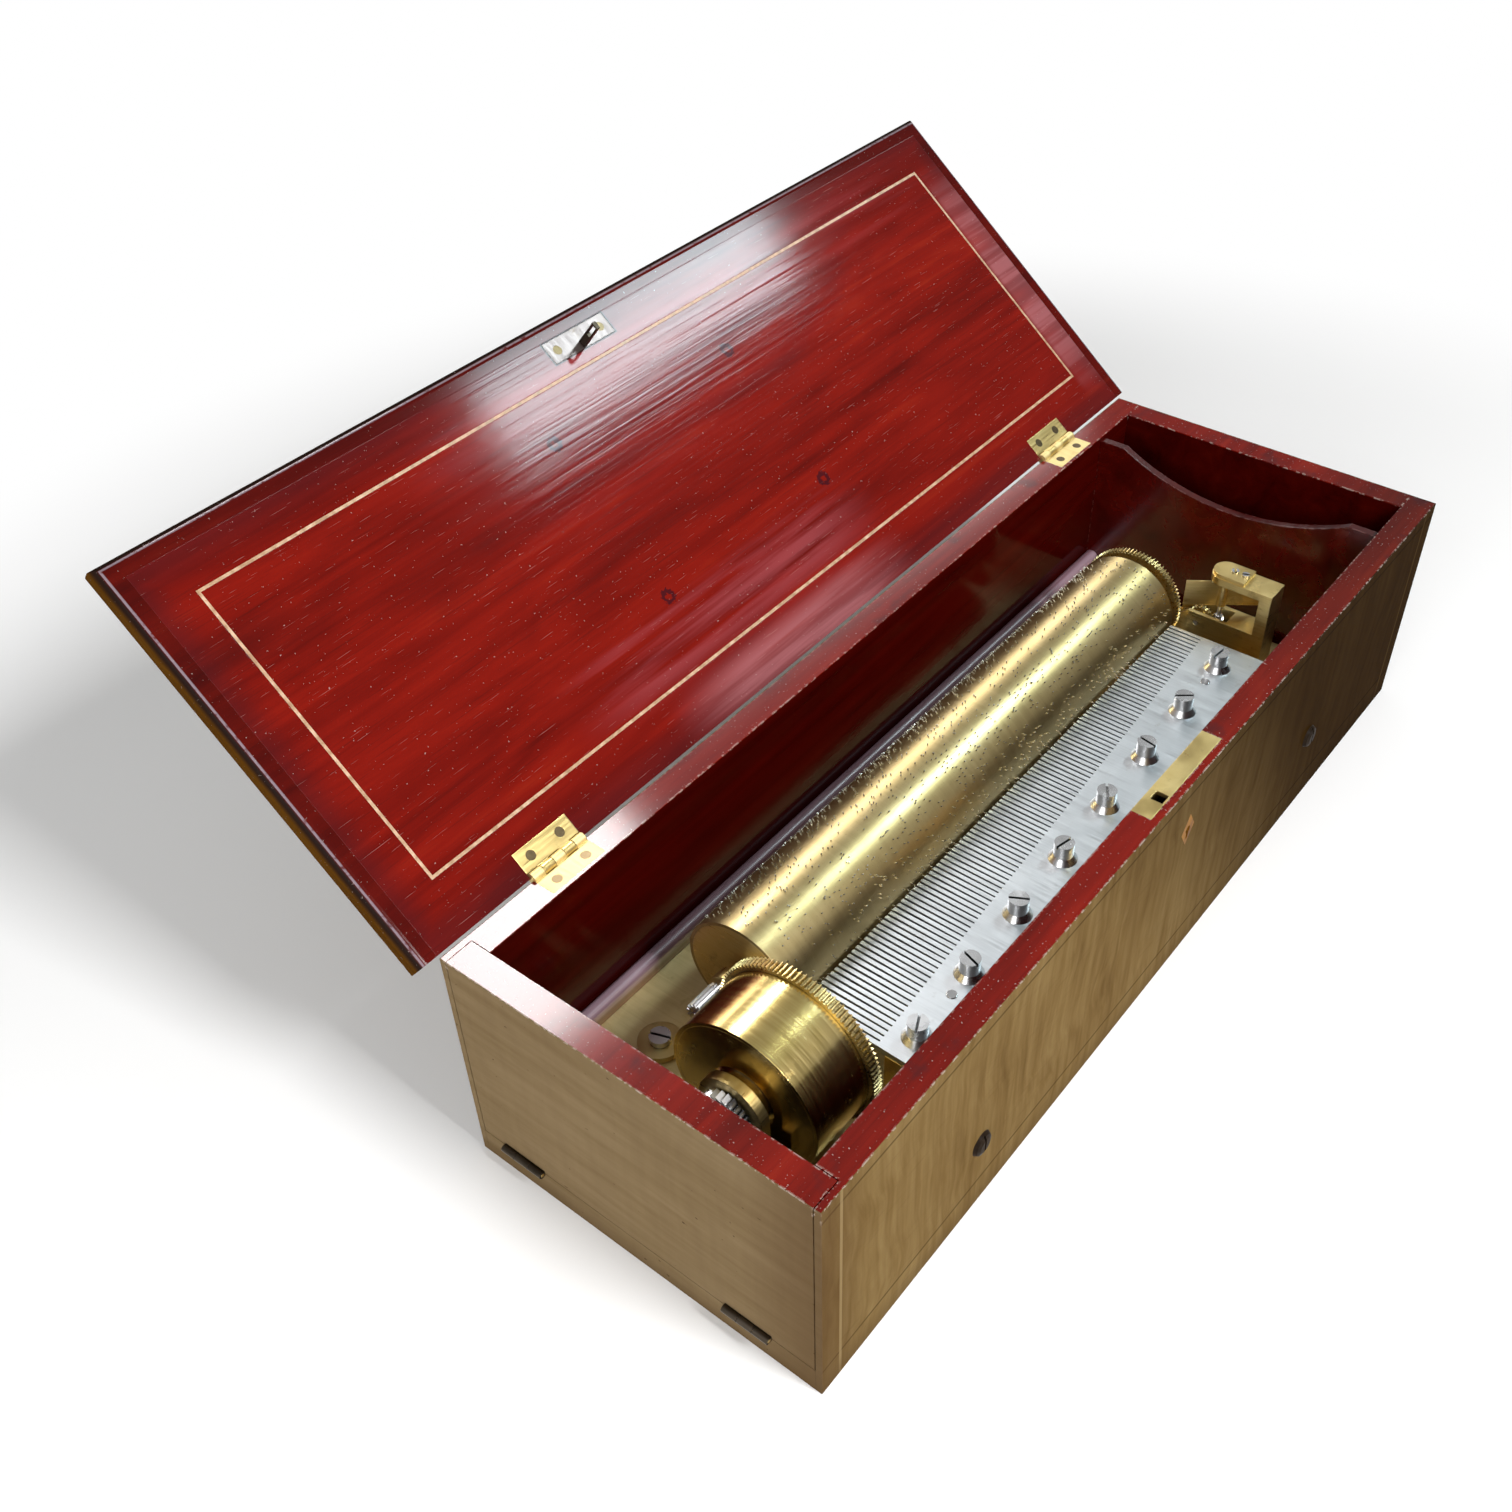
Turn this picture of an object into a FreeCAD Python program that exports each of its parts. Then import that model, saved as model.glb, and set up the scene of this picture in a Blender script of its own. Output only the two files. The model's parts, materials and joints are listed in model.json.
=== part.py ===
# A wind-up cylinder music box: a veneered case with a hinged lid and end flap, and a key-wound movement.
# Millimetres, +Z up. The origin is the centre of the underside, X runs along the case and -Y is its front.
import FreeCAD, Part
import math
import os
import re
import Sketcher

Vector = FreeCAD.Vector

# Driving sizes, one cell each
SIZES = {
    # Case
    "case_length": 500,
    "case_depth": 175,
    "case_height": 118,
    "wall": 12.5,
    "bottom_thickness": 10,
    "flap_thickness": 13.5,
    "flap_lip": 2.9,
    "flap_gap": 0.4,
    "sill_height": 14,
    "tool_bay": 24.5,
    "partition_thickness": 4,
    "partition_clear": 2,
    "partition_dip_depth": 15.5,
    "partition_radius": 128,
    "batten_thickness": 6.7,
    "batten_top": 48,
    "batten_round": 3,
    "bearer_width": 30,
    "bearer_inset": 100,
    # Lid
    "lid_overhang": 9,
    "lid_front_overhang": 11,
    "lid_thickness": 12,
    "lid_gap": 0.4,
    "lid_back_gap": 0.3,
    "lid_open_angle": 141,
    "moulding_width": 9,
    "moulding_round": 4.5,
    "string_inset": 26.5,
    "string_near": 23.4,
    "string_front_inset": 26.3,
    "string_width": 1.3,
    "string_depth": 0.8,
    # Lid hinges
    "hinge_offset": 1,
    "hinge_inset": 63.5,
    "hinge_length": 29,
    "hinge_leaf": 12,
    "leaf_thickness": 1.4,
    "knuckle_radius": 2.4,
    "knuckle_count": 5,
    "knuckle_gap": 0.25,
    "knuckle_room": 0.3,
    "hinge_pin_radius": 1.2,
    "hinge_screw_radius": 2.2,
    "hinge_screw_length": 9,
    "hinge_screw_spread": 16,
    "running_fit": 0.05,
    # Flap hinges
    "flap_hinge_front_inset": 31.1,
    "flap_hinge_back_inset": 23.1,
    "flap_hinge_length": 22,
    "flap_knuckle_radius": 1.7,
    "flap_pin_radius": 0.9,
    "flap_pin_offset": 1.2,
    "flap_leaf": 8,
    "flap_leaf_thickness": 1,
    # Lock and catch
    "lock_length": 60,
    "lock_depth": 9,
    "lock_height": 36,
    "lock_metal": 2,
    "lock_case_length": 48,
    "catch_x": -16.5,
    "catch_length": 38,
    "catch_width": 10.5,
    "catch_shift": 3,
    "catch_thickness": 1.2,
    "catch_screw_spread": 27,
    "staple_thickness": 2,
    "staple_width": 3.6,
    "staple_drop": 15,
    "staple_eye_width": 2.2,
    "staple_eye_height": 7,
    "staple_toe": 0.75,
    "staple_slot_margin": 0.9,
    "bolt_length": 24,
    "bolt_height": 5,
    "bolt_thickness": 1.6,
    "bolt_clearance": 0.3,
    "bolt_reach": 2,
    "key_x": 2.7,
    "key_drop": 29,
    "keyhole_radius": 1.9,
    "keyhole_slit": 1.8,
    "keyhole_drop": 5,
    "escutcheon_half_width": 5.5,
    "escutcheon_half_height": 9,
    "escutcheon_thickness": 1.5,
    # Bedplate
    "bed_left_gap": 6.5,
    "bed_right_gap": 5,
    "bed_top": 38.5,
    "bed_thickness": 6,
    "lug_width": 16,
    "lug_depth": 10,
    "lug_height": 16,
    "bed_screw_left_inset": 81,
    "bed_screw_left_rise": 2,
    "bed_screw_right_inset": 66,
    "bed_screw_right_rise": 7,
    "bed_screw_head": 5.8,
    "bed_screw_dome": 2.2,
    "bed_screw_shank": 2.5,
    "bed_screw_grip": 8,
    # Comb
    "comb_end_gap": 4,
    "comb_far_gap": 2,
    "comb_pitch": 2.9,
    "comb_slit": 0.75,
    "comb_rise": 0.5,
    "comb_thickness": 3,
    "comb_setback": 2,
    "comb_heel_bass": 20,
    "comb_heel_treble": 38.5,
    "comb_tip_gap": 1.2,
    "comb_base_gap": 1,
    "comb_base_setback": 4,
    "comb_screw_count": 8,
    "comb_screw_left_inset": 13,
    "comb_screw_bass_set": 10,
    "comb_screw_right_inset": 17.1,
    "comb_screw_treble_set": 22.2,
    "comb_screw_head": 4.4,
    "comb_screw_height": 6.5,
    "comb_screw_shank": 2,
    "comb_screw_length": 14,
    "washer_radius": 6.4,
    "washer_height": 2.6,
    "screw_slot": 1.1,
    "screw_slot_depth": 1.6,
    "dowel_left_inset": 38.5,
    "dowel_right_inset": 30.6,
    "dowel_radius": 2.2,
    "dowel_length": 12,
    "dowel_proud": 0.3,
    # Pinned cylinder
    "cylinder_set": 96.3,
    "cylinder_rise": 31.5,
    "cylinder_radius": 26.5,
    "cylinder_cock_gap": 4,
    "tune_room": 3.5,
    "cylinder_wall": 1.6,
    "end_cap_thickness": 4,
    "arbor_radius": 3,
    "arbor_left_proud": 1.5,
    "arbor_right_proud": 1,
    "great_gear_gap": 2,
    "great_gear_width": 3.5,
    "great_gear_teeth": 84,
    "great_gear_module": 0.62,
    "great_gear_hub": 8,
    "great_gear_hub_length": 2.5,
    # Spring barrel
    "barrel_rise": 7.5,
    "drive_module": 0.7,
    "barrel_wheel_teeth": 104,
    "barrel_wheel_width": 5,
    "drive_pinion_teeth": 16,
    "drive_pinion_lead": 8,
    "drive_pinion_width": 14,
    "drum_radius": 34,
    "drum_wall": 1.8,
    "drum_length": 30.5,
    "cover_thickness": 2.5,
    "cover_hub_radius": 14,
    "cover_hub_height": 3,
    "winding_arbor_radius": 4,
    "winding_arbor_proud": 1,
    "winding_square": 6,
    "winding_square_gap": 2.5,
    "mainspring_gap": 0.3,
    "mainspring_core": 13,
    "mainspring_width": 24,
    # Ratchet and click
    "axial_gap": 0.5,
    "ratchet_teeth": 24,
    "ratchet_radius": 11,
    "ratchet_depth": 1.8,
    "ratchet_width": 4,
    "click_arm_gap": 0.7,
    "click_arm_width": 2.8,
    "click_drop": 16,
    "click_top_gap": 0.45,
    "click_nose_gap": 0.55,
    "click_slope": 2.5,
    "click_chamfer": 0.9,
    "click_nose_rake": 0.2,
    "click_boss": 3,
    "click_shelf": 2,
    "click_stud_radius": 1.5,
    "click_spring_gap": 0.9,
    "click_spring_thickness": 0.8,
    "click_spring_tail": 6,
    "click_spring_bend": 0.3,
    "click_spring_tip": 3,
    "click_spring_tip_slope": 0.4,
    "click_spring_anchor": 1.2,
    "click_spring_anchor_height": 5,
    # Bearing cocks
    "cock_thickness": 6,
    "cock_boss": 7.5,
    "cock_foot_length": 24,
    "cock_foot_height": 7,
    "pinion_cock_gap": 2,
    "governor_cock_offset": 9.5,
    "wheel_cock_gap": 1,
    "barrel_cock_plate": 4.5,
    "barrel_cock_half_width": 19,
    "barrel_cock_boss": 15,
    "barrel_foot_length": 13,
    "barrel_foot_margin": 1.5,
    "barrel_foot_screw": 10,
    "cock_screw_head": 2.8,
    "cock_screw_height": 2.6,
    "cock_screw_shank": 1.7,
    "cock_screw_length": 10,
    # Governor
    "governor_inset": 34,
    "governor_width": 14,
    "governor_front_reach": 27,
    "governor_pillar": 6,
    "governor_platform_rise": 31.5,
    "governor_arm_rise": 52,
    "governor_arm_height": 4,
    "governor_cap_height": 2,
    "governor_cap_length": 12,
    "governor_cap_margin": 0.5,
    "governor_back_gap": 0.6,
    "governor_ear_rise": 23.5,
    "governor_shoulder": 5,
    "governor_cheek": 2,
    "governor_floor": 6.5,
    "governor_slot_margin": 6.5,
    "governor_foot_length": 9,
    "governor_foot_depth": 16,
    "cap_screw_head": 1.9,
    "cap_screw_height": 1,
    "cap_screw_shank": 0.9,
    "cap_screw_length": 4,
    "cap_screw_near": 4,
    "cap_screw_far": 9.5,
    "worm_set": 41.8,
    "worm_pitch_radius": 2.5,
    "worm_thread_rise": 20.5,
    "worm_thread_length": 10,
    "worm_shaft_radius": 1.2,
    "worm_wheel_teeth": 20,
    "worm_wheel_module": 0.6,
    "worm_wheel_width": 2,
    "second_rise": 25.5,
    "train_gap": 1,
    "pinion_margin": 0.4,
    "second_pinion_teeth": 12,
    "second_module": 0.5,
    "first_wheel_teeth": 36,
    "first_wheel_width": 1.2,
    "first_pinion_teeth": 14,
    "first_pinion_width": 5,
    "train_arbor_radius": 1.4,
    "fan_radius": 18.8,
    "fan_turn_angle": 35,
    "fan_rise": 36.5,
    "fan_height": 14.5,
    "fan_thickness": 0.5,
    "fan_hub_radius": 2.4,
    # Start lever
    "lever_inset": 43,
    "lever_set": 26.3,
    "lever_thickness": 3,
    "lever_width": 8,
    "lever_handle": 44,
    "lever_round": 9.5,
    "lever_grip_height": 4,
    "lever_gap": 0.2,
    "lever_stud": 3,
    "lever_screw_head": 4.6,
    "lever_screw_height": 3,
}

# Places worked out from the sizes
PLACES = {
    # Case
    "front_in": "-case_depth / 2 + wall",
    "back_in": "case_depth / 2 - wall",
    "left_in": "-case_length / 2 + flap_thickness",
    "right_in": "case_length / 2 - wall",
    "partition_x": "right_in - tool_bay - partition_thickness",
    "partition_top": "case_height - partition_clear",
    "partition_dip": "partition_top - partition_dip_depth",
    "bearer_x": "case_length / 2 - bearer_inset",
    "flap_width": "case_depth - 2 * flap_lip",
    "flap_pin_x": "-case_length / 2 - flap_pin_offset",
    "flap_hinge_front": "-flap_width / 2 + flap_hinge_front_inset",
    "flap_hinge_back": "flap_width / 2 - flap_hinge_back_inset",
    # Lid
    "hinge_x": "case_length / 2 - hinge_inset",
    "hinge_y": "case_depth / 2 + hinge_offset",
    "hinge_z": "case_height + lid_gap / 2",
    "knuckle_length": "hinge_length / knuckle_count",
    "lid_length": "case_length + 2 * lid_overhang",
    "lid_reach": "case_depth + hinge_offset + lid_front_overhang",
    "lid_bottom": "case_height + lid_gap",
    "lid_front": "hinge_y - lid_reach",
    "lid_back": "hinge_y - lid_back_gap",
    "string_half_length": "lid_length / 2 - string_inset",
    "string_far": "lid_reach - string_front_inset",
    # Lock and catch
    "lock_y": "front_in - lock_depth / 2 - lock_metal / 2",
    "catch_y": "lock_y - catch_shift",
    "key_z": "case_height - key_drop",
    "staple_bottom": "lid_bottom - staple_drop",
    "staple_eye_bottom": "staple_bottom + staple_toe",
    "bolt_z": "staple_eye_bottom + staple_eye_height / 2 - bolt_height / 2",
    "bolt_left": "catch_x + staple_thickness / 2 + bolt_reach",
    # Bedplate
    "bed_left": "left_in + bed_left_gap",
    "bed_right": "partition_x - bed_right_gap",
    "bed_back": "back_in - batten_thickness",
    "bed_bottom": "bed_top - bed_thickness",
    "bed_screw_left": "bed_left + bed_screw_left_inset",
    "bed_screw_left_z": "bed_top + bed_screw_left_rise",
    "bed_screw_right": "bed_right - bed_screw_right_inset",
    "bed_screw_right_z": "bed_top + bed_screw_right_rise",
    # Axes of the cylinder and the barrel
    "cylinder_y": "front_in + cylinder_set",
    "cylinder_z": "bed_top + cylinder_rise",
    "barrel_z": "cylinder_z + barrel_rise",
    "drive_distance": "drive_module * (barrel_wheel_teeth + drive_pinion_teeth) / 2",
    "barrel_y": "cylinder_y - sqrt(drive_distance ^ 2 - barrel_rise ^ 2)",
    # Along the movement, from its left end to the cylinder
    "winding_square_end": "left_in + winding_square_gap",
    "barrel_cock_x": "bed_left + barrel_foot_margin + barrel_foot_length",
    "ratchet_x": "barrel_cock_x - axial_gap - ratchet_width",
    "drum_left": "barrel_cock_x + barrel_cock_plate + axial_gap + cover_hub_height",
    "barrel_wheel_x": "drum_left + drum_length",
    "barrel_cock_right": "barrel_wheel_x + barrel_wheel_width + wheel_cock_gap",
    "winding_arbor_right": "barrel_cock_right + cock_thickness + winding_arbor_proud",
    "drive_pinion_x": "barrel_wheel_x - drive_pinion_lead",
    "arbor_left": "drive_pinion_x - arbor_left_proud",
    "cylinder_cock_left": "drive_pinion_x + drive_pinion_width + pinion_cock_gap",
    "cylinder_left": "cylinder_cock_left + cock_thickness + cylinder_cock_gap",
    # Along the movement, from its right end to the cylinder
    "governor_x": "bed_right - governor_inset",
    "governor_left": "governor_x - governor_width / 2",
    "cylinder_cock_right": "governor_x - governor_cock_offset",
    "arbor_right": "cylinder_cock_right + cock_thickness + arbor_right_proud",
    "great_gear_x": "cylinder_cock_right - great_gear_gap - great_gear_width",
    "cylinder_right": "great_gear_x - great_gear_hub_length - tune_room",
    "cylinder_length": "cylinder_right - cylinder_left",
    # Comb
    "comb_left": "cylinder_left + comb_end_gap",
    "comb_teeth": "floor((cylinder_length - comb_end_gap - comb_far_gap) / comb_pitch)",
    "comb_length": "comb_teeth * comb_pitch",
    "comb_right": "comb_left + comb_length",
    "comb_top": "cylinder_z + comb_rise",
    "comb_tip_y": "cylinder_y - cylinder_radius - comb_tip_gap",
    "comb_base_front": "front_in + lug_depth + comb_base_gap",
    "comb_front": "comb_base_front + comb_setback",
    "comb_root_left": "comb_front + comb_heel_bass",
    "comb_root_right": "comb_front + comb_heel_treble",
    "comb_screw_first_x": "comb_left + comb_screw_left_inset",
    "comb_screw_first_y": "comb_front + comb_screw_bass_set",
    "comb_screw_last_x": "comb_right - comb_screw_right_inset",
    "comb_screw_last_y": "comb_front + comb_screw_treble_set",
    "dowel_left": "comb_left + dowel_left_inset",
    "dowel_right": "comb_right - dowel_right_inset",
    # Click
    "click_y": "barrel_y + ratchet_radius + click_arm_gap + click_arm_width / 2",
    "click_z": "barrel_z - click_drop",
    # Governor and its train
    "worm_y": "cylinder_y - worm_set",
    "governor_front": "worm_y - governor_front_reach",
    "governor_back": "cylinder_y - cock_boss - cock_foot_length / 2 - governor_back_gap",
    "governor_slot_front": "worm_y - governor_slot_margin",
    "governor_platform": "bed_top + governor_platform_rise",
    "governor_ear_top": "bed_top + governor_ear_rise",
    "governor_arm_bottom": "bed_top + governor_arm_rise",
    "governor_arm_top": "governor_arm_bottom + governor_arm_height",
    "worm_thread_bottom": "bed_top + worm_thread_rise",
    "fan_bottom": "bed_top + fan_rise",
    "second_z": "bed_top + second_rise",
    "second_y": "worm_y + worm_pitch_radius + worm_wheel_module * worm_wheel_teeth / 2",
    "first_distance": "great_gear_module * (great_gear_teeth + first_pinion_teeth) / 2",
    "second_distance": "second_module * (first_wheel_teeth + second_pinion_teeth) / 2",
    "train_span": "sqrt((cylinder_y - second_y) ^ 2 + (cylinder_z - second_z) ^ 2)",
    "train_along": "(second_distance ^ 2 - first_distance ^ 2 + train_span ^ 2) / (2 * train_span)",
    "train_drop": "sqrt(second_distance ^ 2 - train_along ^ 2)",
    "first_y": "second_y + (train_along * (cylinder_y - second_y) + train_drop * (cylinder_z - second_z))"
               " / train_span",
    "first_z": "second_z + (train_along * (cylinder_z - second_z) - train_drop * (cylinder_y - second_y))"
               " / train_span",
    "first_wheel_x": "governor_x + worm_wheel_width / 2 + train_gap",
    "first_pinion_x": "great_gear_x - (first_pinion_width - great_gear_width) / 2",
    # Start lever
    "lever_x": "bed_left + lever_inset",
    "lever_y": "bed_back - lever_set",
}

doc = FreeCAD.newDocument("music_box")
dims = doc.addObject("Spreadsheet::Sheet", "dims")
places = doc.addObject("App::VarSet", "places")
nodes = []

WORD = re.compile(r"[a-z][a-z0-9_]*")


def formula(text):
    """Turn a line of size names into an expression on the sheet and the places."""
    def owner(match):
        word = match.group(0)
        if word in SIZES:
            return "dims." + word
        if word in PLACES:
            return "places." + word
        return word
    return WORD.sub(owner, str(text))


def fill_sheet():
    for row, (alias, value) in enumerate(SIZES.items(), start=1):
        dims.set("A%d" % row, alias)
        dims.set("B%d" % row, str(value))
        dims.setAlias("B%d" % row, alias)
    for name in PLACES:
        places.addProperty("App::PropertyFloat", name, "Places")
    doc.recompute()
    for name, text in PLACES.items():
        places.setExpression(name, formula(text))
    doc.recompute()


def size(name):
    """The number behind a size or a place, for shapes made in code."""
    if name in SIZES:
        return float(dims.get(name))
    return float(getattr(places, name))


def bind(thing, prop, text):
    thing.setExpression(prop, formula(text))


def put(thing, at):
    for letter, text in zip("xyz", at):
        bind(thing, "Placement.Base." + letter, text)
    return thing


# Turns of the screw slots in degrees, the first screw's and the step to the next
COMB_SLOTS = (25, 47)
COCK_SLOTS = (20, 55)
CAP_SLOTS = (30, 80)
LEVER_SLOT = 110

# Turns that lay a form made along Z, or a profile turned about X, along another axis
ALONG = {
    "x": FreeCAD.Rotation(Vector(0, 1, 0), 90),
    "y": FreeCAD.Rotation(Vector(1, 0, 0), -90),
    "z": FreeCAD.Rotation(),
}


def block(name, measure, at):
    box = doc.addObject("Part::Box", name)
    for prop, text in zip(("Length", "Width", "Height"), measure):
        bind(box, prop, text)
    return put(box, at)


def rod(name, radius, length, at, axis="z"):
    cylinder = doc.addObject("Part::Cylinder", name)
    bind(cylinder, "Radius", radius)
    bind(cylinder, "Height", length)
    cylinder.Placement = FreeCAD.Placement(Vector(), ALONG[axis])
    return put(cylinder, at)


def cone(name, bottom, top, height, at):
    shape = doc.addObject("Part::Cone", name)
    bind(shape, "Radius1", bottom)
    bind(shape, "Radius2", top)
    bind(shape, "Height", height)
    return put(shape, at)


def fuse(name, shapes):
    joined = doc.addObject("Part::MultiFuse", name)
    joined.Shapes = shapes
    return joined


def cut(name, base, tools):
    result = doc.addObject("Part::Cut", name)
    result.Base = base
    result.Tool = tools[0] if len(tools) == 1 else fuse(name + "_tools", tools)
    return result


def group(name, shapes):
    together = doc.addObject("Part::Compound", name)
    together.Links = shapes
    return together


def outline_sketch(body, plane, points):
    """A closed outline of straight lines, each corner held by two bound distances."""
    sketch = body.newObject("Sketcher::SketchObject", body.Name + "_sketch")
    support = [item for item in body.Origin.OriginFeatures if item.Role == plane][0]
    sketch.AttachmentSupport = [(support, "")]
    sketch.MapMode = "FlatFace"
    count = len(points)
    probe = doc.addObject("App::VarSet", body.Name + "_probe")
    corners = []
    for index, point in enumerate(points):
        for letter, text in zip("xy", point):
            probe.addProperty("App::PropertyFloat", letter + str(index), "Corner")
            probe.setExpression(letter + str(index), formula(text))
    probe.recompute()
    for index in range(count):
        corners.append(Vector(getattr(probe, "x%d" % index), getattr(probe, "y%d" % index), 0))
    doc.removeObject(probe.Name)
    for index in range(count):
        sketch.addGeometry(Part.LineSegment(corners[index], corners[(index + 1) % count]))
    for index in range(count):
        sketch.addConstraint(Sketcher.Constraint("Coincident", index, 2, (index + 1) % count, 1))
    for index, point in enumerate(points):
        for kind, letter, text in zip(("DistanceX", "DistanceY"), "xy", point):
            value = getattr(corners[index], letter)
            number = sketch.addConstraint(Sketcher.Constraint(kind, -1, 1, index, 1, value))
            sketch.setExpression("Constraints[%d]" % number, formula(text))
    return sketch


def padded(name, plane, points, depth, at=(0, 0, 0)):
    body = doc.addObject("PartDesign::Body", name)
    sketch = outline_sketch(body, plane, points)
    pad = body.newObject("PartDesign::Pad", name + "_pad")
    pad.Profile = sketch
    bind(pad, "Length", depth)
    return put(body, at)


def turned(name, points, at=(0, 0, 0), axis="x"):
    """A profile of (distance along the axis, radius) points, turned once round."""
    body = doc.addObject("PartDesign::Body", name)
    sketch = outline_sketch(body, "XY_Plane", points)
    turn = body.newObject("PartDesign::Revolution", name + "_turn")
    turn.Profile = sketch
    turn.ReferenceAxis = (sketch, ["H_Axis"])
    turn.Angle = 360
    rotations = {"x": FreeCAD.Rotation(), "y": FreeCAD.Rotation(Vector(0, 0, 1), 90),
                 "z": FreeCAD.Rotation(Vector(0, 1, 0), -90)}
    body.Placement = FreeCAD.Placement(Vector(), rotations[axis])
    return put(body, at)


def solid(name, shape):
    feature = doc.addObject("Part::Feature", name)
    feature.Shape = shape
    return feature


def node(label, thing):
    thing.Label = label
    nodes.append(thing)
    return thing


def slotted_screw(name, head, height, shank, length, at, turn):
    """A cheese-headed screw, head upwards, whose seat is at its origin."""
    top = rod(name + "_head", head, height, (0, 0, 0))
    stem = rod(name + "_shank", shank, length, (0, 0, "-(%s)" % length))
    slot = block(name + "_slot", ("2 * %s + 2" % head, "screw_slot", "screw_slot_depth"),
                 ("-%s - 1" % head, "-screw_slot / 2", "%s - screw_slot_depth" % height))
    screw = cut(name, fuse(name + "_blank", [top, stem]), [slot])
    screw.Placement = FreeCAD.Placement(Vector(), FreeCAD.Rotation(Vector(0, 0, 1), turn))
    return put(screw, at)


def slot_turn(slots, index):
    return slots[0] + slots[1] * index


def hole_of(name, radius, depth, at):
    """The hole that a screw's shank fills, from its seat downwards."""
    return rod(name, radius, depth, (at[0], at[1], "%s - (%s)" % (at[2], depth)))


def edges_along_x(shape, height, side):
    """Edge numbers of the X-wise edges at a height and on the given Y sides."""
    found = []
    for number, edge in enumerate(shape.Edges, start=1):
        first = edge.Vertexes[0].Point
        last = edge.Vertexes[-1].Point
        level = abs(first.z - height) < 1e-6 and abs(last.z - height) < 1e-6
        if level and abs(first.y - last.y) < 1e-6 and any(abs(first.y - y) < 1e-6 for y in side):
            found.append(number)
    return found


# Toothed wheels

def tooth_ring(teeth, module, phase, addendum=0.8, dedendum=1.05, root_share=0.29, tip_share=0.1):
    """Corner points of a straight-flanked gear in the YZ plane, a tooth standing at the phase angle."""
    pitch_radius = module * teeth / 2
    step = 2 * math.pi / teeth
    points = []
    for tooth in range(teeth):
        middle = math.radians(phase) + tooth * step
        for share, reach in ((-root_share, -dedendum), (-tip_share, addendum),
                             (tip_share, addendum), (root_share, -dedendum)):
            radius = pitch_radius + reach * module
            angle = middle + share * step
            points.append((radius * math.cos(angle), radius * math.sin(angle)))
    return points


def toothed_wheel(name, ring, width, bore, at):
    corners = [Vector(0, y, z) for y, z in ring]
    face = Part.Face(Part.makePolygon(corners + corners[:1]))
    shape = face.extrude(Vector(width, 0, 0))
    if bore:
        shape = shape.cut(Part.makeCylinder(bore, width, Vector(), Vector(1, 0, 0)))
    wheel = solid(name, shape)
    wheel.Placement = FreeCAD.Placement(Vector(*at), FreeCAD.Rotation())
    return wheel


def bearing(first_y, first_z, other_y, other_z):
    """Direction from one arbor to another, in degrees round X."""
    return math.degrees(math.atan2(other_z - first_z, other_y - first_y))


def meshing_phase(direction, teeth):
    """Phase that puts a gap of the driven wheel where the driver's tooth stands."""
    return direction + 180 + 180 / teeth


# Case

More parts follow.
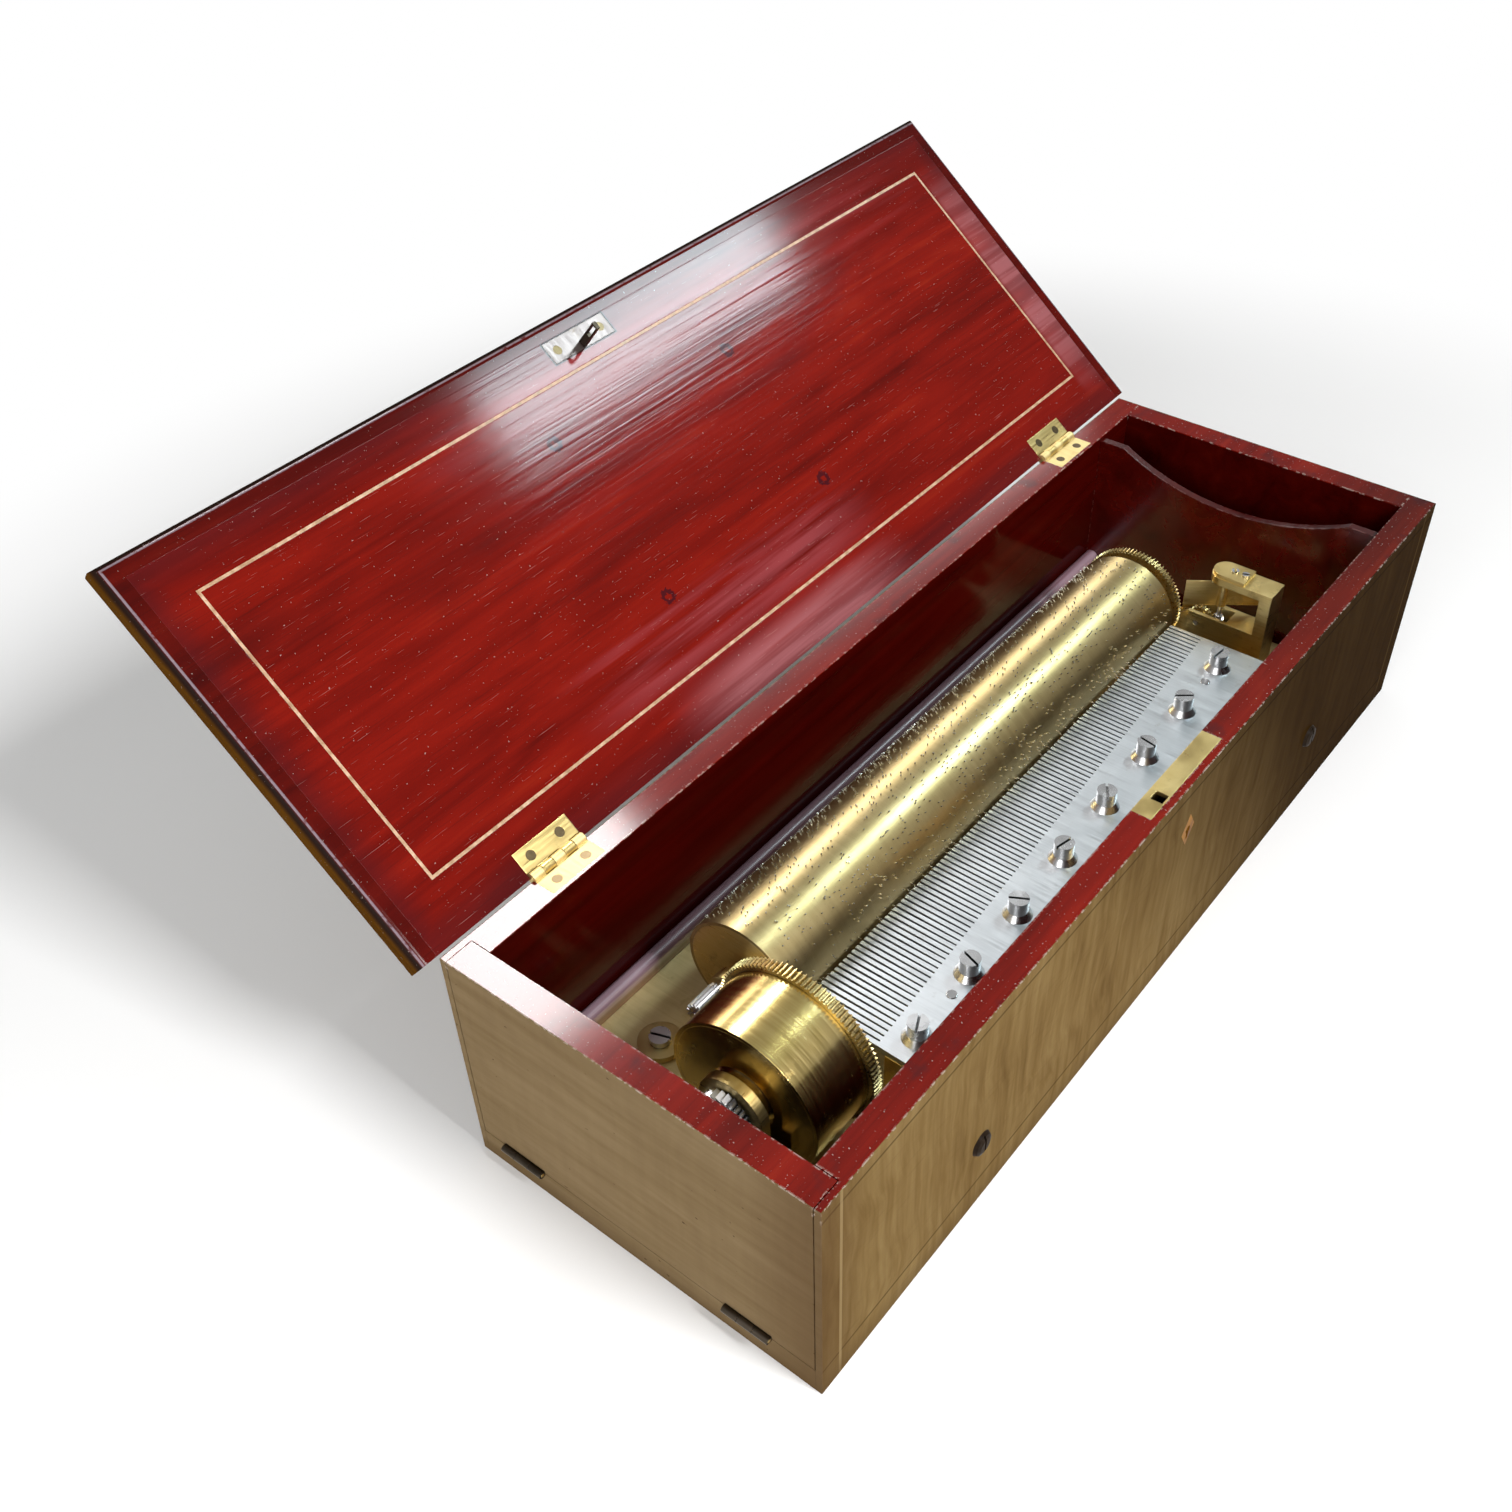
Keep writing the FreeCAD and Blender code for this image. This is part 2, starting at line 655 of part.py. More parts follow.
def make_case():
    across = "flap_thickness"
    lip = "wall - flap_lip"
    front_board = block("front_board", ("case_length", "wall", "case_height"),
                        ("-case_length / 2", "-case_depth / 2", 0))
    front_rebate = block("front_rebate", (across, lip, "case_height"),
                         ("-case_length / 2", "front_in - wall + flap_lip", 0))
    lock_recess = block("lock_recess", ("lock_length", "lock_depth", "lock_height"),
                        ("-lock_length / 2", "front_in - lock_depth", "case_height - lock_height"))
    keyhole = rod("keyhole_round", "keyhole_radius", "wall", ("key_x", "-case_depth / 2", "key_z"), "y")
    slit = block("keyhole_cut", ("keyhole_slit", "wall", "keyhole_drop"),
                 ("key_x - keyhole_slit / 2", "-case_depth / 2", "key_z - keyhole_drop"))
    inlay = escutcheon_form("escutcheon_recess")
    holes = []
    for side in ("left", "right"):
        place = ("bed_screw_" + side, "-case_depth / 2", "bed_screw_%s_z" % side)
        holes.append(rod("bed_hole_" + side, "bed_screw_shank", "wall", place, "y"))
    tools = [front_rebate, lock_recess, keyhole, slit, inlay] + holes
    node("front_wall", cut("front_wall", front_board, tools))

    back_board = block("back_board", ("case_length", "wall", "case_height"),
                       ("-case_length / 2", "back_in", 0))
    back_rebate = block("back_rebate", (across, lip, "case_height"), ("-case_length / 2", "back_in", 0))
    seats = [hinge_seat("back_hinge_seat_" + side, x, "case_height - leaf_thickness")
             for side, x in HINGES]
    node("back_wall", cut("back_wall", back_board, [back_rebate] + seats + case_hinge_holes("back")))

    node("right_end", block("right_end", ("wall", "back_in - front_in", "case_height"),
                            ("right_in", "front_in", 0)))
    node("bottom_board", block("bottom_board", ("right_in - left_in", "back_in - front_in", "bottom_thickness"),
                               ("left_in", "front_in", 0)))

    sill = block("sill_block", (across, "flap_width", "sill_height - flap_gap / 2"),
                 ("-case_length / 2", "-flap_width / 2", 0))
    sill_cuts = []
    for side, y in FLAP_HINGES:
        sill_cuts.append(block("sill_seat_" + side, ("flap_leaf", "flap_hinge_length", "flap_leaf_thickness"),
                               ("-case_length / 2", "%s - flap_hinge_length / 2" % y,
                                "sill_height - flap_gap / 2 - flap_leaf_thickness")))
        sill_cuts.append(flap_knuckle_room("sill_room_" + side, y))
    node("end_sill", cut("end_sill", sill, sill_cuts))

    board = block("partition_board",
                  ("partition_thickness", "back_in - front_in", "partition_top - bottom_thickness"),
                  ("partition_x", "front_in", "bottom_thickness"))
    dip = rod("partition_arc", "partition_radius", "partition_thickness",
              ("partition_x", 0, "partition_dip + partition_radius"), "x")
    node("partition", cut("partition", board, [dip]))

    strip = block("batten_strip",
                  ("partition_x - left_in", "batten_thickness", "batten_top - bottom_thickness"),
                  ("left_in", "bed_back", "bottom_thickness"))
    doc.recompute()
    batten = doc.addObject("Part::Fillet", "rear_batten")
    batten.Base = strip
    radius = size("batten_round")
    top_edges = edges_along_x(strip.Shape, size("batten_top"), (size("bed_back"), size("back_in")))
    batten.Edges = [(number, radius, radius) for number in top_edges]
    node("rear_batten", batten)

    bearers = []
    for side, x in (("left", "-bearer_x"), ("right", "bearer_x")):
        bearers.append(block("bearer_" + side,
                             ("bearer_width", "bed_back - front_in", "bed_bottom - bottom_thickness"),
                             (x + " - bearer_width / 2", "front_in", "bottom_thickness")))
    node("bed_bearers", group("bed_bearers", bearers))


def escutcheon_form(name):
    """The lozenge that is let into the front round the keyhole."""
    points = [("-escutcheon_half_width", 0), (0, "-escutcheon_half_height"),
              ("escutcheon_half_width", 0), (0, "escutcheon_half_height")]
    form = padded(name, "XZ_Plane", points, "escutcheon_thickness")
    return put(form, ("key_x", "-case_depth / 2 + escutcheon_thickness", "key_z"))


def make_escutcheon():
    blank = escutcheon_form("escutcheon_blank")
    keyhole = rod("escutcheon_round", "keyhole_radius", "escutcheon_thickness",
                  ("key_x", "-case_depth / 2", "key_z"), "y")
    slit = block("escutcheon_slit", ("keyhole_slit", "escutcheon_thickness", "keyhole_drop"),
                 ("key_x - keyhole_slit / 2", "-case_depth / 2", "key_z - keyhole_drop"))
    node("escutcheon", cut("escutcheon", blank, [keyhole, slit]))


def make_bed_screws():
    screws = []
    for side in ("left", "right"):
        name = "bed_screw_%s_form" % side
        profile = [("-bed_screw_dome", 0), ("-bed_screw_dome", "bed_screw_head * 0.55"),
                   ("-bed_screw_dome * 0.7", "bed_screw_head * 0.85"), (0, "bed_screw_head"),
                   (0, "bed_screw_shank"), ("wall + bed_screw_grip", "bed_screw_shank"),
                   ("wall + bed_screw_grip", 0)]
        form = turned(name, profile, ("bed_screw_" + side, "-case_depth / 2", "bed_screw_%s_z" % side), "y")
        slot = block(name + "_slot", ("screw_slot", "bed_screw_dome * 0.6", "2 * bed_screw_head"),
                     ("bed_screw_%s - screw_slot / 2" % side, "-case_depth / 2 - bed_screw_dome",
                      "bed_screw_%s_z - bed_screw_head" % side))
        screws.append(cut(name + "_cut", form, [slot]))
    node("bed_screws", group("bed_screws", screws))


# Lid and its hinges

HINGES = (("left", "-hinge_x"), ("right", "hinge_x"))
FLAP_HINGES = (("front", "flap_hinge_front"), ("back", "flap_hinge_back"))


def hinge_seat(name, x, bottom):
    """The recess that a hinge leaf lies in, open to the back, with room for the knuckles."""
    left = "%s - hinge_length / 2" % x
    recess = block(name + "_recess", ("hinge_length", "hinge_leaf", "leaf_thickness"),
                   (left, "hinge_y - hinge_leaf", bottom))
    room = rod(name + "_room", "knuckle_radius + knuckle_room", "hinge_length",
               (left, "hinge_y", "hinge_z"), "x")
    return fuse(name, [recess, room])


def hinge_screw_spots(x):
    return [("%s - hinge_screw_spread / 2" % x, "hinge_y - hinge_leaf * 0.62"),
            ("%s + hinge_screw_spread / 2" % x, "hinge_y - hinge_leaf * 0.62")]


def hinge_screw(name, spot, surface, upward):
    """A countersunk screw, its flat head level with the leaf and its shank in the wood."""
    if upward:
        head = cone(name + "_head", "hinge_screw_radius", "hinge_screw_radius / 2", "leaf_thickness",
                    spot + (surface,))
        shank = rod(name + "_shank", "hinge_screw_radius / 2", "hinge_screw_length",
                    spot + (surface + " + leaf_thickness",))
    else:
        head = cone(name + "_head", "hinge_screw_radius / 2", "hinge_screw_radius", "leaf_thickness",
                    spot + (surface + " - leaf_thickness",))
        shank = rod(name + "_shank", "hinge_screw_radius / 2", "hinge_screw_length",
                    spot + (surface + " - leaf_thickness - hinge_screw_length",))
    return fuse(name, [head, shank])


def hinge_screw_set(name, surface, upward):
    screws = []
    for side, x in HINGES:
        for index, spot in enumerate(hinge_screw_spots(x)):
            screws.append(hinge_screw("%s_%s_%d" % (name, side, index), spot, surface, upward))
    return screws


def case_hinge_holes(name):
    return hinge_screw_set(name + "_hinge_hole", "case_height", False)


def lid_hinge_holes(name):
    return hinge_screw_set(name + "_hinge_hole", "lid_bottom", True)


def hinge_leaf(name, x, bottom, own_turns, bore, holes):
    """One leaf with its knuckles; the places of the other leaf's knuckles are cleared."""
    left = "%s - hinge_length / 2" % x
    plate = block(name + "_plate", ("hinge_length", "hinge_leaf", "leaf_thickness"),
                  (left, "hinge_y - hinge_leaf", bottom))
    own = []
    other = []
    for turn in range(int(SIZES["knuckle_count"])):
        start = "%s + %d * knuckle_length" % (left, turn)
        if turn in own_turns:
            own.append(rod("%s_knuckle_%d" % (name, turn), "knuckle_radius", "knuckle_length - knuckle_gap",
                           (start + " + knuckle_gap / 2", "hinge_y", "hinge_z"), "x"))
        else:
            other.append(rod("%s_room_%d" % (name, turn), "knuckle_radius + knuckle_room", "knuckle_length",
                             (start, "hinge_y", "hinge_z"), "x"))
    hole = rod(name + "_bore", bore, "hinge_length", (left, "hinge_y", "hinge_z"), "x")
    return cut(name, fuse(name + "_blank", [plate] + own), other + [hole] + holes)


def make_case_hinges():
    leaves = []
    pins = []
    screws = case_hinge_holes("case")
    for number, (side, x) in enumerate(HINGES):
        mine = case_hinge_holes("case_leaf_" + side)[2 * number:2 * number + 2]
        leaves.append(hinge_leaf("case_leaf_" + side, x, "case_height - leaf_thickness", (0, 2, 4),
                                 "hinge_pin_radius", mine))
        pins.append(rod("lid_pin_" + side, "hinge_pin_radius", "hinge_length",
                        ("%s - hinge_length / 2" % x, "hinge_y", "hinge_z"), "x"))
    for side, y in FLAP_HINGES:
        pins.append(rod("flap_pin_" + side, "flap_pin_radius", "flap_hinge_length",
                        ("flap_pin_x", "%s - flap_hinge_length / 2" % y, "sill_height"), "y"))
    node("case_hinge_leaves", group("case_hinge_leaves", leaves))
    node("hinge_pins", group("hinge_pins", pins))
    node("case_hinge_screws", group("case_hinge_screws", screws))


def opened(thing):
    """Swing a lid piece, made shut, up and back to where the lid stands."""
    pivot = Vector(0, size("hinge_y"), size("hinge_z"))
    swing = FreeCAD.Rotation(Vector(1, 0, 0), -size("lid_open_angle"))
    thing.Placement = FreeCAD.Placement(Vector(), swing, pivot)
    return thing


def string_frame(name):
    """The thin inlaid line, a rectangle seen on the underside of the lid."""
    outer = block(name + "_outer", ("2 * string_half_length", "string_far - string_near", "string_depth"),
                  ("-string_half_length", "hinge_y - string_far", "lid_bottom"))
    inner = block(name + "_inner",
                  ("2 * string_half_length - 2 * string_width",
                   "string_far - string_near - 2 * string_width", "string_depth"),
                  ("-string_half_length + string_width", "hinge_y - string_far + string_width", "lid_bottom"))
    return cut(name, outer, [inner])


def catch_block(name):
    return block(name, ("catch_length", "catch_width", "catch_thickness"),
                 ("catch_x - catch_length / 2", "catch_y - catch_width / 2", "lid_bottom"))


def catch_screws(name):
    screws = []
    for side, sign in (("left", "-"), ("right", "+")):
        spot = ("catch_x %s catch_screw_spread / 2" % sign, "catch_y")
        head = cone("%s_%s_head" % (name, side), "hinge_screw_radius", "hinge_screw_radius / 2",
                    "catch_thickness", spot + ("lid_bottom",))
        shank = rod("%s_%s_shank" % (name, side), "hinge_screw_radius / 2", "hinge_screw_length",
                    spot + ("lid_bottom + catch_thickness",))
        screws.append(fuse("%s_%s" % (name, side), [head, shank]))
    return screws


def make_lid():
    inner_front = "lid_front + moulding_width"
    core_measure = ("lid_length - 2 * moulding_width", "lid_back - lid_front - moulding_width", "lid_thickness")
    core_place = ("-lid_length / 2 + moulding_width", inner_front, "lid_bottom")
    core = block("lid_core", core_measure, core_place)
    seats = [hinge_seat("lid_hinge_seat_" + side, x, "lid_bottom") for side, x in HINGES]
    cuts = seats + [string_frame("string_groove"), catch_block("catch_seat")]
    cuts = cuts + lid_hinge_holes("lid_panel") + catch_screws("catch_hole")
    node("lid_panel", opened(cut("lid_panel", core, cuts)))

    slab = block("moulding_slab", ("lid_length", "lid_back - lid_front", "lid_thickness"),
                 ("-lid_length / 2", "lid_front", "lid_bottom"))
    doc.recompute()
    rounded = doc.addObject("Part::Fillet", "moulding_rounded")
    rounded.Base = slab
    radius = size("moulding_round")
    rounded.Edges = [(number, radius, radius) for number in outer_edges(slab.Shape, size("lid_back"))]
    clear = block("moulding_clear", core_measure, core_place)
    node("lid_moulding", opened(cut("lid_moulding", rounded, [clear])))

    node("lid_stringing", opened(string_frame("lid_stringing")))
    leaves = []
    for number, (side, x) in enumerate(HINGES):
        holes = lid_hinge_holes("lid_leaf_" + side)[2 * number:2 * number + 2]
        leaves.append(hinge_leaf("lid_leaf_" + side, x, "lid_bottom", (1, 3),
                                 "hinge_pin_radius + running_fit", holes))
    node("lid_hinge_leaves", opened(group("lid_hinge_leaves", leaves)))
    screws = lid_hinge_holes("lid") + catch_screws("catch_screw")
    node("lid_screws", opened(group("lid_screws", screws)))
    make_catch()


def outer_edges(shape, back):
    """Long edges of the lid slab, top and bottom, apart from those along its back."""
    found = []
    for number, edge in enumerate(shape.Edges, start=1):
        first = edge.Vertexes[0].Point
        last = edge.Vertexes[-1].Point
        upright = abs(first.z - last.z) > 1e-6
        at_back = abs(first.y - back) < 1e-6 and abs(last.y - back) < 1e-6
        if not upright and not at_back:
            found.append(number)
    return found


def make_catch():
    plate = catch_block("catch_blank")
    seat = block("staple_seat", ("staple_thickness", "staple_width", "catch_thickness"),
                 ("catch_x - staple_thickness / 2", "lock_y - staple_width / 2", "lid_bottom"))
    node("catch_plate", opened(cut("catch_plate", plate, [seat] + catch_screws("catch_plate_hole"))))
    tongue = block("staple_tongue",
                   ("staple_thickness", "staple_width", "staple_drop + catch_thickness"),
                   ("catch_x - staple_thickness / 2", "lock_y - staple_width / 2", "staple_bottom"))
    eye = block("staple_eye", ("staple_thickness", "staple_eye_width", "staple_eye_height"),
                ("catch_x - staple_thickness / 2", "lock_y - staple_eye_width / 2",
                 "staple_eye_bottom"))
    lower = block("staple_eye_floor", ("staple_thickness", "staple_eye_width", "staple_toe"),
                  ("catch_x - staple_thickness / 2", "lock_y - staple_eye_width / 2", "staple_bottom"))
    node("catch_staple", opened(fuse("catch_staple", [cut("staple_loop", tongue, [eye]), lower])))


# Lock

def make_lock():
    plate_bottom = "case_height - lock_metal"
    selvedge = block("selvedge", ("lock_length", "lock_depth", "lock_metal"),
                     ("-lock_length / 2", "front_in - lock_depth", plate_bottom))
    back = block("lock_back", ("lock_length", "lock_metal", "lock_height - lock_metal"),
                 ("-lock_length / 2", "front_in - lock_metal", "case_height - lock_height"))
    slot = block("staple_slot",
                 ("staple_thickness + 4 * staple_slot_margin", "staple_width + 2 * staple_slot_margin",
                  "lock_metal"),
                 ("catch_x - staple_thickness / 2 - 2 * staple_slot_margin",
                  "lock_y - staple_width / 2 - staple_slot_margin", plate_bottom))
    node("lock_plate", cut("lock_plate", fuse("lock_plate_blank", [selvedge, back]), [slot]))

    inner_depth = "lock_depth - lock_metal"
    bolt_rail = "bolt_z - bolt_clearance"
    shell = block("lock_shell", ("lock_case_length", inner_depth, "lock_height - 2 * lock_metal"),
                  ("-lock_case_length / 2", "front_in - lock_depth", "case_height - lock_height + lock_metal"))
    hollow = block("lock_hollow",
                   ("lock_case_length - 2 * lock_metal", inner_depth, "%s - (%s)" % (plate_bottom, bolt_rail)),
                   ("-lock_case_length / 2 + lock_metal", "front_in - lock_depth + lock_metal / 2", bolt_rail))
    pit = block("staple_pit",
                ("staple_thickness + 4 * staple_slot_margin", inner_depth, "lock_height / 2"),
                ("catch_x - staple_thickness / 2 - 2 * staple_slot_margin",
                 "front_in - lock_depth + lock_metal / 2", "%s - lock_height / 2" % plate_bottom))
    way = block("key_way", ("2 * keyhole_radius", inner_depth, "keyhole_drop + keyhole_radius"),
                ("key_x - keyhole_radius", "front_in - lock_depth", "key_z - keyhole_drop"))
    node("lock_case", cut("lock_case", shell, [hollow, pit, way]))
    node("lock_bolt", block("lock_bolt", ("bolt_length", "bolt_thickness", "bolt_height"),
                            ("bolt_left", "lock_y - bolt_thickness / 2", "bolt_z")))


# End flap

def flap_knuckle_room(name, y):
    return rod(name, "flap_knuckle_radius + knuckle_room", "flap_hinge_length",
               ("flap_pin_x", "%s - flap_hinge_length / 2" % y, "sill_height"), "y")


def flap_leaf(name, y, bottom, middle):
    """A butt leaf with either the middle knuckle or the two outer ones."""
    start = "%s - flap_hinge_length / 2" % y
    third = "flap_hinge_length / 3"
    plate = block(name + "_plate", ("flap_leaf + flap_pin_offset", "flap_hinge_length", "flap_leaf_thickness"),
                  ("flap_pin_x", start, bottom))
    own = []
    other = []
    for turn in range(3):
        origin = "%s + %d * %s" % (start, turn, third)
        if (turn == 1) == middle:
            own.append(rod("%s_knuckle_%d" % (name, turn), "flap_knuckle_radius", third + " - knuckle_gap",
                           ("flap_pin_x", origin + " + knuckle_gap / 2", "sill_height"), "y"))
        else:
            other.append(rod("%s_room_%d" % (name, turn), "flap_knuckle_radius + knuckle_room", third,
                             ("flap_pin_x", origin, "sill_height"), "y"))
    bore = "flap_pin_radius" if middle else "flap_pin_radius + running_fit"
    hole = rod(name + "_bore", bore, "flap_hinge_length", ("flap_pin_x", start, "sill_height"), "y")
    return cut(name, fuse(name + "_blank", [plate] + own), other + [hole])


def make_flap():
    bottom = "sill_height + flap_gap / 2"
    panel = block("flap_panel",
                  ("flap_thickness - flap_gap", "flap_width - 2 * flap_gap",
                   "case_height - sill_height - flap_gap / 2"),
                  ("-case_length / 2", "-flap_width / 2 + flap_gap", bottom))
    cuts = []
    flap_leaves = []
    sill_leaves = []
    for side, y in FLAP_HINGES:
        cuts.append(block("flap_seat_" + side, ("flap_leaf", "flap_hinge_length", "flap_leaf_thickness"),
                          ("-case_length / 2", "%s - flap_hinge_length / 2" % y, bottom)))
        cuts.append(flap_knuckle_room("flap_room_" + side, y))
        flap_leaves.append(flap_leaf("flap_leaf_" + side, y, bottom, False))
        sill_leaves.append(flap_leaf("sill_leaf_" + side, y,
                                     "sill_height - flap_gap / 2 - flap_leaf_thickness", True))
    node("end_flap", cut("end_flap", panel, cuts))
    node("flap_hinge_leaves", group("flap_hinge_leaves", flap_leaves))
    node("sill_hinge_leaves", group("sill_hinge_leaves", sill_leaves))


# Bedplate, comb and their screws

def comb_screw_spot(index):
    share = "%d / (comb_screw_count - 1)" % index
    x = "comb_screw_first_x + (comb_screw_last_x - comb_screw_first_x) * %s" % share
    y = "comb_screw_first_y + (comb_screw_last_y - comb_screw_first_y) * %s" % share
    return (x, y)


def dowel_spots():
    slope = "(comb_screw_last_y - comb_screw_first_y) / (comb_screw_last_x - comb_screw_first_x)"
    spots = []
    for side in ("left", "right"):
        x = "dowel_" + side
        spots.append((x, "comb_screw_first_y + (%s - comb_screw_first_x) * %s" % (x, slope)))
    return spots


def comb_holes(name):
    holes = []
    for index in range(int(SIZES["comb_screw_count"])):
        spot = comb_screw_spot(index) + ("comb_top + washer_height",)
        holes.append(hole_of("%s_screw_%d" % (name, index), "comb_screw_shank", "comb_screw_length", spot))
    for index, spot in enumerate(dowel_spots()):
        holes.append(hole_of("%s_dowel_%d" % (name, index), "dowel_radius", "dowel_length",
                             spot + ("comb_top + dowel_proud",)))
    return holes


def comb_root(x):
    """Y of the tooth roots, which run slantwise from the long bass teeth to the short treble ones."""
    share = (x - size("comb_left")) / size("comb_length")
    return size("comb_root_left") + share * (size("comb_root_right") - size("comb_root_left"))


def comb_plate():
    left = size("comb_left")
    pitch = size("comb_pitch")
    half_slit = size("comb_slit") / 2
    tip = size("comb_tip_y")
    points = [Vector(left, size("comb_front"), 0)]
    for tooth in range(int(size("comb_teeth"))):
        start = left + tooth * pitch + half_slit
        end = left + (tooth + 1) * pitch - half_slit
        points.append(Vector(start, comb_root(start), 0))
        points.append(Vector(start + half_slit / 2, tip, 0))
        points.append(Vector(end - half_slit / 2, tip, 0))
        points.append(Vector(end, comb_root(end), 0))
    points.append(Vector(size("comb_right"), size("comb_front"), 0))
    face = Part.Face(Part.makePolygon(points + points[:1]))
    return face.extrude(Vector(0, 0, size("comb_thickness")))


def make_comb():
    blank = solid("comb_blank", comb_plate())
    blank.Placement = FreeCAD.Placement(Vector(0, 0, size("comb_top") - size("comb_thickness")),
                                        FreeCAD.Rotation())
    node("comb", cut("comb", blank, comb_holes("comb_hole")))

    outline = [("comb_left", "comb_base_front"), ("comb_right", "comb_base_front"),
               ("comb_right", "comb_root_right - comb_base_setback"),
               ("comb_left", "comb_root_left - comb_base_setback")]
    base = padded("comb_base_blank", "XY_Plane", outline, "comb_top - comb_thickness - bed_top",
                  (0, 0, "bed_top"))
    node("comb_base", cut("comb_base", base, comb_holes("comb_base_hole")))

    screws = []
    for index in range(int(SIZES["comb_screw_count"])):
        spot = comb_screw_spot(index)
        turn = slot_turn(COMB_SLOTS, index)
        screws.append(slotted_screw("comb_screw_%d" % index, "comb_screw_head", "comb_screw_height",
                                    "comb_screw_shank", "comb_screw_length",
                                    spot + ("comb_top + washer_height",), turn))
        ring = cone("washer_%d_form" % index, "washer_radius", "comb_screw_head", "washer_height",
                    spot + ("comb_top",))
        hole = rod("washer_%d_hole" % index, "comb_screw_shank", "washer_height", spot + ("comb_top",))
        screws.append(cut("washer_%d" % index, ring, [hole]))
    node("comb_screws", group("comb_screws", screws))

    dowels = []
    for index, spot in enumerate(dowel_spots()):
        dowels.append(hole_of("dowel_%d" % index, "dowel_radius", "dowel_length",
                              spot + ("comb_top + dowel_proud",)))
    node("comb_dowels", group("comb_dowels", dowels))


def make_bed():
    plate = block("bed_slab", ("bed_right - bed_left", "bed_back - front_in", "bed_thickness"),
                  ("bed_left", "front_in", "bed_bottom"))
    lugs = []
    holes = []
    for side in ("left", "right"):
        lugs.append(block("lug_" + side, ("lug_width", "lug_depth", "lug_height"),
                          ("bed_screw_%s - lug_width / 2" % side, "front_in", "bed_top")))
        place = ("bed_screw_" + side, "front_in", "bed_screw_%s_z" % side)
        holes.append(rod("lug_hole_" + side, "bed_screw_shank", "bed_screw_grip", place, "y"))
    holes = holes + cock_screw_holes("bed")
    holes.append(hole_of("lever_stud_hole", "lever_stud", "bed_thickness", ("lever_x", "lever_y", "bed_top")))
    node("bedplate", cut("bedplate", fuse("bed_blank", [plate] + lugs), holes))


# Bearing cocks

def cock_screw_spots():
    """Where the feet of the cocks are screwed down, each with the height of its seat."""
    reach = "cock_boss + cock_foot_length / 4"
    spots = []
    for x, y in (("cylinder_cock_left", "cylinder_y"), ("cylinder_cock_right", "cylinder_y"),
                 ("barrel_cock_right", "barrel_y")):
        middle = "%s + cock_thickness / 2" % x
        for sign in ("-", "+"):
            spots.append((middle, "%s %s (%s)" % (y, sign, reach), "bed_top + cock_foot_height"))
    for sign in ("-", "+"):
        spots.append(("barrel_cock_x - barrel_foot_length / 2", "barrel_y %s barrel_foot_screw" % sign,
                      "bed_top + cock_foot_height"))
    spots.append(("governor_left - governor_foot_length / 2", "governor_front + governor_foot_depth / 2",
                  "bed_top + cock_foot_height"))
    return spots


def cock_screw_holes(name):
    return [hole_of("%s_cock_hole_%d" % (name, index), "cock_screw_shank", "cock_screw_length", spot)
            for index, spot in enumerate(cock_screw_spots())]


def make_cock(label, x, y, z, bore):
    """An upright bearing with a rounded head and a screwed foot."""
    post = block(label + "_post", ("cock_thickness", "2 * cock_boss", "%s - bed_top" % z),
                 (x, "%s - cock_boss" % y, "bed_top"))
    head = rod(label + "_head", "cock_boss", "cock_thickness", (x, y, z), "x")
    foot_length = "cock_foot_length + 2 * cock_boss"
    foot = block(label + "_foot", ("cock_thickness", foot_length, "cock_foot_height"),
                 (x, "%s - (%s) / 2" % (y, foot_length), "bed_top"))
    hole = rod(label + "_bore", bore, "cock_thickness", (x, y, z), "x")
    blank = fuse(label + "_blank", [post, head, foot])
    node(label, cut(label, blank, [hole] + cock_screw_holes(label)))


def make_barrel_cock():
    """The wide left cock, which also carries the click."""
    post = block("barrel_cock_post",
                 ("barrel_cock_plate", "2 * barrel_cock_half_width",
                  "click_z - bed_top + click_boss + click_shelf"),
                 ("barrel_cock_x", "barrel_y - barrel_cock_half_width", "bed_top"))
    neck = block("barrel_cock_neck", ("barrel_cock_plate", "2 * barrel_cock_boss", "barrel_z - bed_top"),
                 ("barrel_cock_x", "barrel_y - barrel_cock_boss", "bed_top"))
    head = rod("barrel_cock_head", "barrel_cock_boss", "barrel_cock_plate",
               ("barrel_cock_x", "barrel_y", "barrel_z"), "x")
    foot = block("barrel_cock_foot",
                 ("barrel_foot_length", "2 * barrel_cock_half_width", "cock_foot_height"),
                 ("barrel_cock_x - barrel_foot_length", "barrel_y - barrel_cock_half_width", "bed_top"))
    stud = rod("click_stud", "click_stud_radius", "axial_gap + ratchet_width",
               ("ratchet_x", "click_y", "click_z"), "x")
    bore = rod("barrel_cock_bore", "winding_arbor_radius + running_fit", "barrel_cock_plate",
               ("barrel_cock_x", "barrel_y", "barrel_z"), "x")
    blank = fuse("barrel_cock_blank", [post, neck, head, foot, stud])
    node("barrel_cock_left", cut("barrel_cock_left", blank, [bore] + cock_screw_holes("barrel_cock")))


